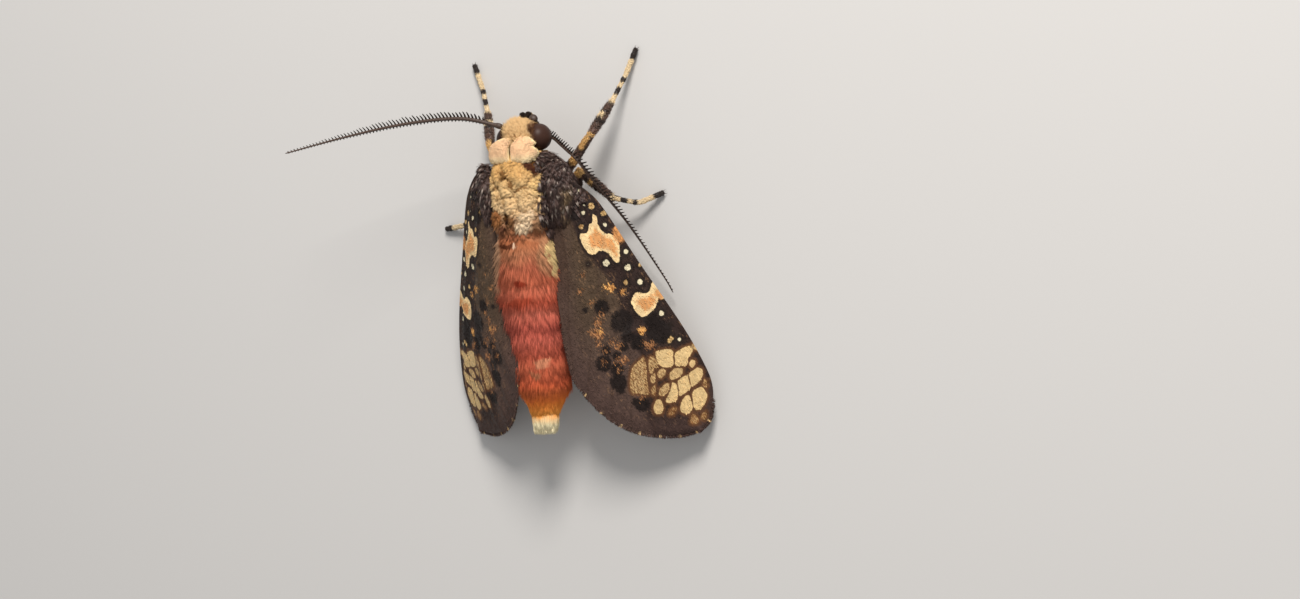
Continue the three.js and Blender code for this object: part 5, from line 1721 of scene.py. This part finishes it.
def legPath(leg):
    # points, radii and segment shares along a leg, rounded at its joints
    start = leg["femur"][0]
    pieces = {"femur": leg["femur"], "tibia": [leg["femur"][-1], leg["tibia"][0]],
              "tarsus": [leg["tibia"][0]] + leg["tarsus"]}
    points, radii, segments, shares = [np.array(start, float)], [legShape["coxa"]], ["femur"], [0.0]
    for segment, joints in pieces.items():
        joints = np.array(joints, float)
        run = runAlong(joints)
        for part in np.arange(0.11, run[-1], 0.11) / run[-1]:
            points.append(np.array([np.interp(part * run[-1], run, joints[:, k]) for k in range(3)]))
            segments.append(segment)
            shares.append(part)
            hump = math.sin(math.pi * part)
            if segment == "femur":
                radius = blend(legShape["coxa"], legShape["knee"], part) + legShape["femurSwell"] * hump
            elif segment == "tibia":
                radius = blend(legShape["knee"], legShape["ankle"], part) + legShape["tibiaSwell"] * hump
            else:
                ends = (0.42, 0.6, 0.74, 0.86, 1.0)      # of the foot's segments
                flare = max(math.exp(-((part - end) / 0.03) ** 2) for end in ends)
                radius = blend(legShape["tarsus"], legShape["toe"], part ** 3) + legShape["flare"] * flare
            radii.append(radius)
    points = np.array(points)
    rounded = points.copy()
    for again in range(14):
        rounded[1:-1] = 0.25 * rounded[:-2] + 0.5 * rounded[1:-1] + 0.25 * rounded[2:]
    inFoot = np.array(segments) == "tarsus"
    lowest = np.array(radii) + 0.03                  # the sole stays just above the ground
    rounded[:, 2] = np.where(inFoot, np.maximum(rounded[:, 2], lowest), rounded[:, 2])
    radii[-1] = radii[-1] * 0.6
    return rounded, np.array(radii), segments, np.array(shares)


def makeLeg(which, number):
    leg = legs[which]
    path, radii, segments, shares = legPath(leg)
    around = 16
    points, faces, corners = tube(path, radii, around, 0.92)
    strip = [[(0.812 + 0.03 * number + 0.026 * u, v) for u, v in face] for face in corners]
    piece = addShape("leg_" + which, (points, faces, strip), legMaterial)
    places, normals = placesOf(piece.data), normalsOf(piece.data)
    nearest = nearestOn(path, places)
    ragged = 0.035 * noiseAt(places, 0.18, 3 + number)
    facing = smooth(normals @ unit(np.array([0.55, -0.35, 0.6])), 0.08, 0.36)
    marks = {"pale": np.zeros(len(places)), "tawny": np.zeros(len(places)), "black": np.zeros(len(places))}
    isIn = {name: np.array([segments[i] == name for i in nearest]) for name in ("femur", "tibia", "tarsus")}
    where = shares[nearest] + ragged
    for segment, low, high, colour, oneSided in leg["bands"] + [("tarsus", *band, 0) for band in footBands]:
        edge = 0.02 if segment != "tarsus" else 0.012
        depth = smooth(where, low - edge, low + edge) * (1 - smooth(where, high - edge, high + edge))
        if segment == "tarsus" and low == 0.0:
            depth = 1 - smooth(where, high - edge, high + edge)
        depth = depth * isIn[segment] * (facing if oneSided else 1.0)
        marks[colour] = np.maximum(marks[colour], depth)
    for name, values in marks.items():
        setFloats(piece.data, name, values)
    setVectors(piece.data, "place", places)
    setFloats(piece.data, "tone", 0.35)
    way = unit(np.gradient(path, axis=0))[nearest]
    foot = isIn["tarsus"]
    clear = smooth(np.linalg.norm(places - path[0], axis=1), 1.2, 2.2)
    clear = clear * smooth(places[:, 2], 0.06, 0.16)
    lift = np.where(foot, 13.0, 20.0)
    thick = clear * np.where(foot, 1.5, 1.0)
    growCoat("legScales_" + which, piece, flatScale, legMaterial, "leg_scales", 61 + number, thick,
             layOn(normals, way, lift), length=np.where(foot, 0.2, 0.34), width=np.where(foot, 0.095, 0.12),
             **legShape["scales"])
    portion = 0.4 if "fore" in which else 1.0
    thick = clear * isIn["tibia"] * smooth(shares[nearest], 0.1, 0.4) * portion + 1e-4
    growCoat("legBristles_" + which, piece, flatScale, legMaterial, "leg_scales", 71 + number, thick,
             layOn(normals, way, 38.0), **legShape["bristles"])
    return piece, path, segments, shares


def makeClaws(paths):
    # two hooked claws on each foot, and the spurs of the middle and hind shins
    material, tree, shader = newMaterial("clawHorn", 0.35, 0.5)
    shader.inputs["Base Color"].default_value = rgb(0.03, 0.018, 0.014)
    points, faces, corners = [], [], []

    def addHorn(path, radius):
        part = np.linspace(0, 1, len(path))
        made, madeFaces, madeCorners = tube(path, radius * (1 - 0.88 * part), 8)
        first = len(points)
        points.extend(made)
        faces.extend(tuple(first + k for k in face) for face in madeFaces)
        corners.extend(madeCorners)

    for which, (path, segments, shares) in paths.items():
        end, way = path[-1], unit(path[-1] - path[-6])
        across = unit(np.cross(way, [0.0, 0.0, 1.0]))
        for side in (-1, 1):
            hook = [end + way * (0.02 + 0.30 * t) + across * side * (0.06 + 0.16 * math.sin(t * 2.2))
                    + np.array([0, 0, -0.1 * t * t]) for t in np.linspace(0, 1, 9)]
            addHorn([np.array([p[0], p[1], max(p[2], 0.07)]) for p in hook], 0.05)
        places = {"fore": [], "mid": [0.97], "hind": [0.62, 0.97]}[which.split("_")[0]]
        for share01 in places:
            at = next(i for i in range(len(path)) if segments[i] == "tibia" and shares[i] >= share01 - 0.04)
            way = unit(path[at + 1] - path[at - 1])
            across = unit(np.cross(way, [0.0, 0.0, 1.0]))
            for side, length in ((-1, 1.05), (1, 0.8)):
                lean = unit(way + side * 0.42 * across + np.array([0, 0, -0.25]))
                root = path[at] + across * side * 0.18
                addHorn([root + lean * length * t for t in np.linspace(0, 1, 7)], 0.1)
    finishPiece(addShape("claws", (points, faces, corners), material), "leg_scales")


def joinLegs(made):
    # one closed skin of the body and all six legs
    before = [("body", skin)] + [(which, piece) for which, piece in made]
    names = ("tone", "creaseShade", "pale", "tawny", "black")
    gathered = {name: [] for name in names}
    spots = []
    for which, piece in before:
        places = placesOf(piece.data)
        spots.append(places)
        for name in names:
            values = np.zeros(len(places), np.float32)
            layer = piece.data.attributes.get(name)
            if layer:
                layer.data.foreach_get("value", values)
            gathered[name].append(values)
    spots = np.concatenate(spots)
    tree = kdtree.KDTree(len(spots))
    for i, spot in enumerate(spots):
        tree.insert(spot, i)
    tree.balance()
    for which, piece in made:
        union = skin.modifiers.new(which, "BOOLEAN")
        union.operation, union.solver, union.object = "UNION", "EXACT", piece
        union.material_mode = "TRANSFER"
    skin.update_tag()
    graph = bpy.context.evaluated_depsgraph_get()
    mesh = bpy.data.meshes.new_from_object(skin.evaluated_get(graph))
    mesh.name = "bodySkin"
    skin.modifiers.clear()
    skin.data = mesh
    for which, piece in made:
        bpy.data.objects.remove(piece)
    places = placesOf(mesh)
    nearest = [tree.find(place)[1] for place in places]
    for name in names + ("place", "along"):
        layer = mesh.attributes.get(name)
        if layer:
            mesh.attributes.remove(layer)
    for name in names:
        setFloats(mesh, name, np.concatenate(gathered[name])[nearest])
    setVectors(mesh, "place", places)


def makeLegs():
    made, paths = [], {}
    for number, which in enumerate(legs):
        piece, path, segments, shares = makeLeg(which, number)
        made.append((which, piece))
        paths[which] = (path, segments, shares)
    makeClaws(paths)
    joinLegs(made)
    legNodes = [which + "_" + segment for which in legs for segment in ("femur", "tibia", "tarsus")]
    finishPiece(skin, "thorax_coat", "head", "thorax", "abdomen", "tail_tuft", *legNodes)


makeLegs()
print("legs are joined in a skin of", len(skin.data.polygons), "faces")
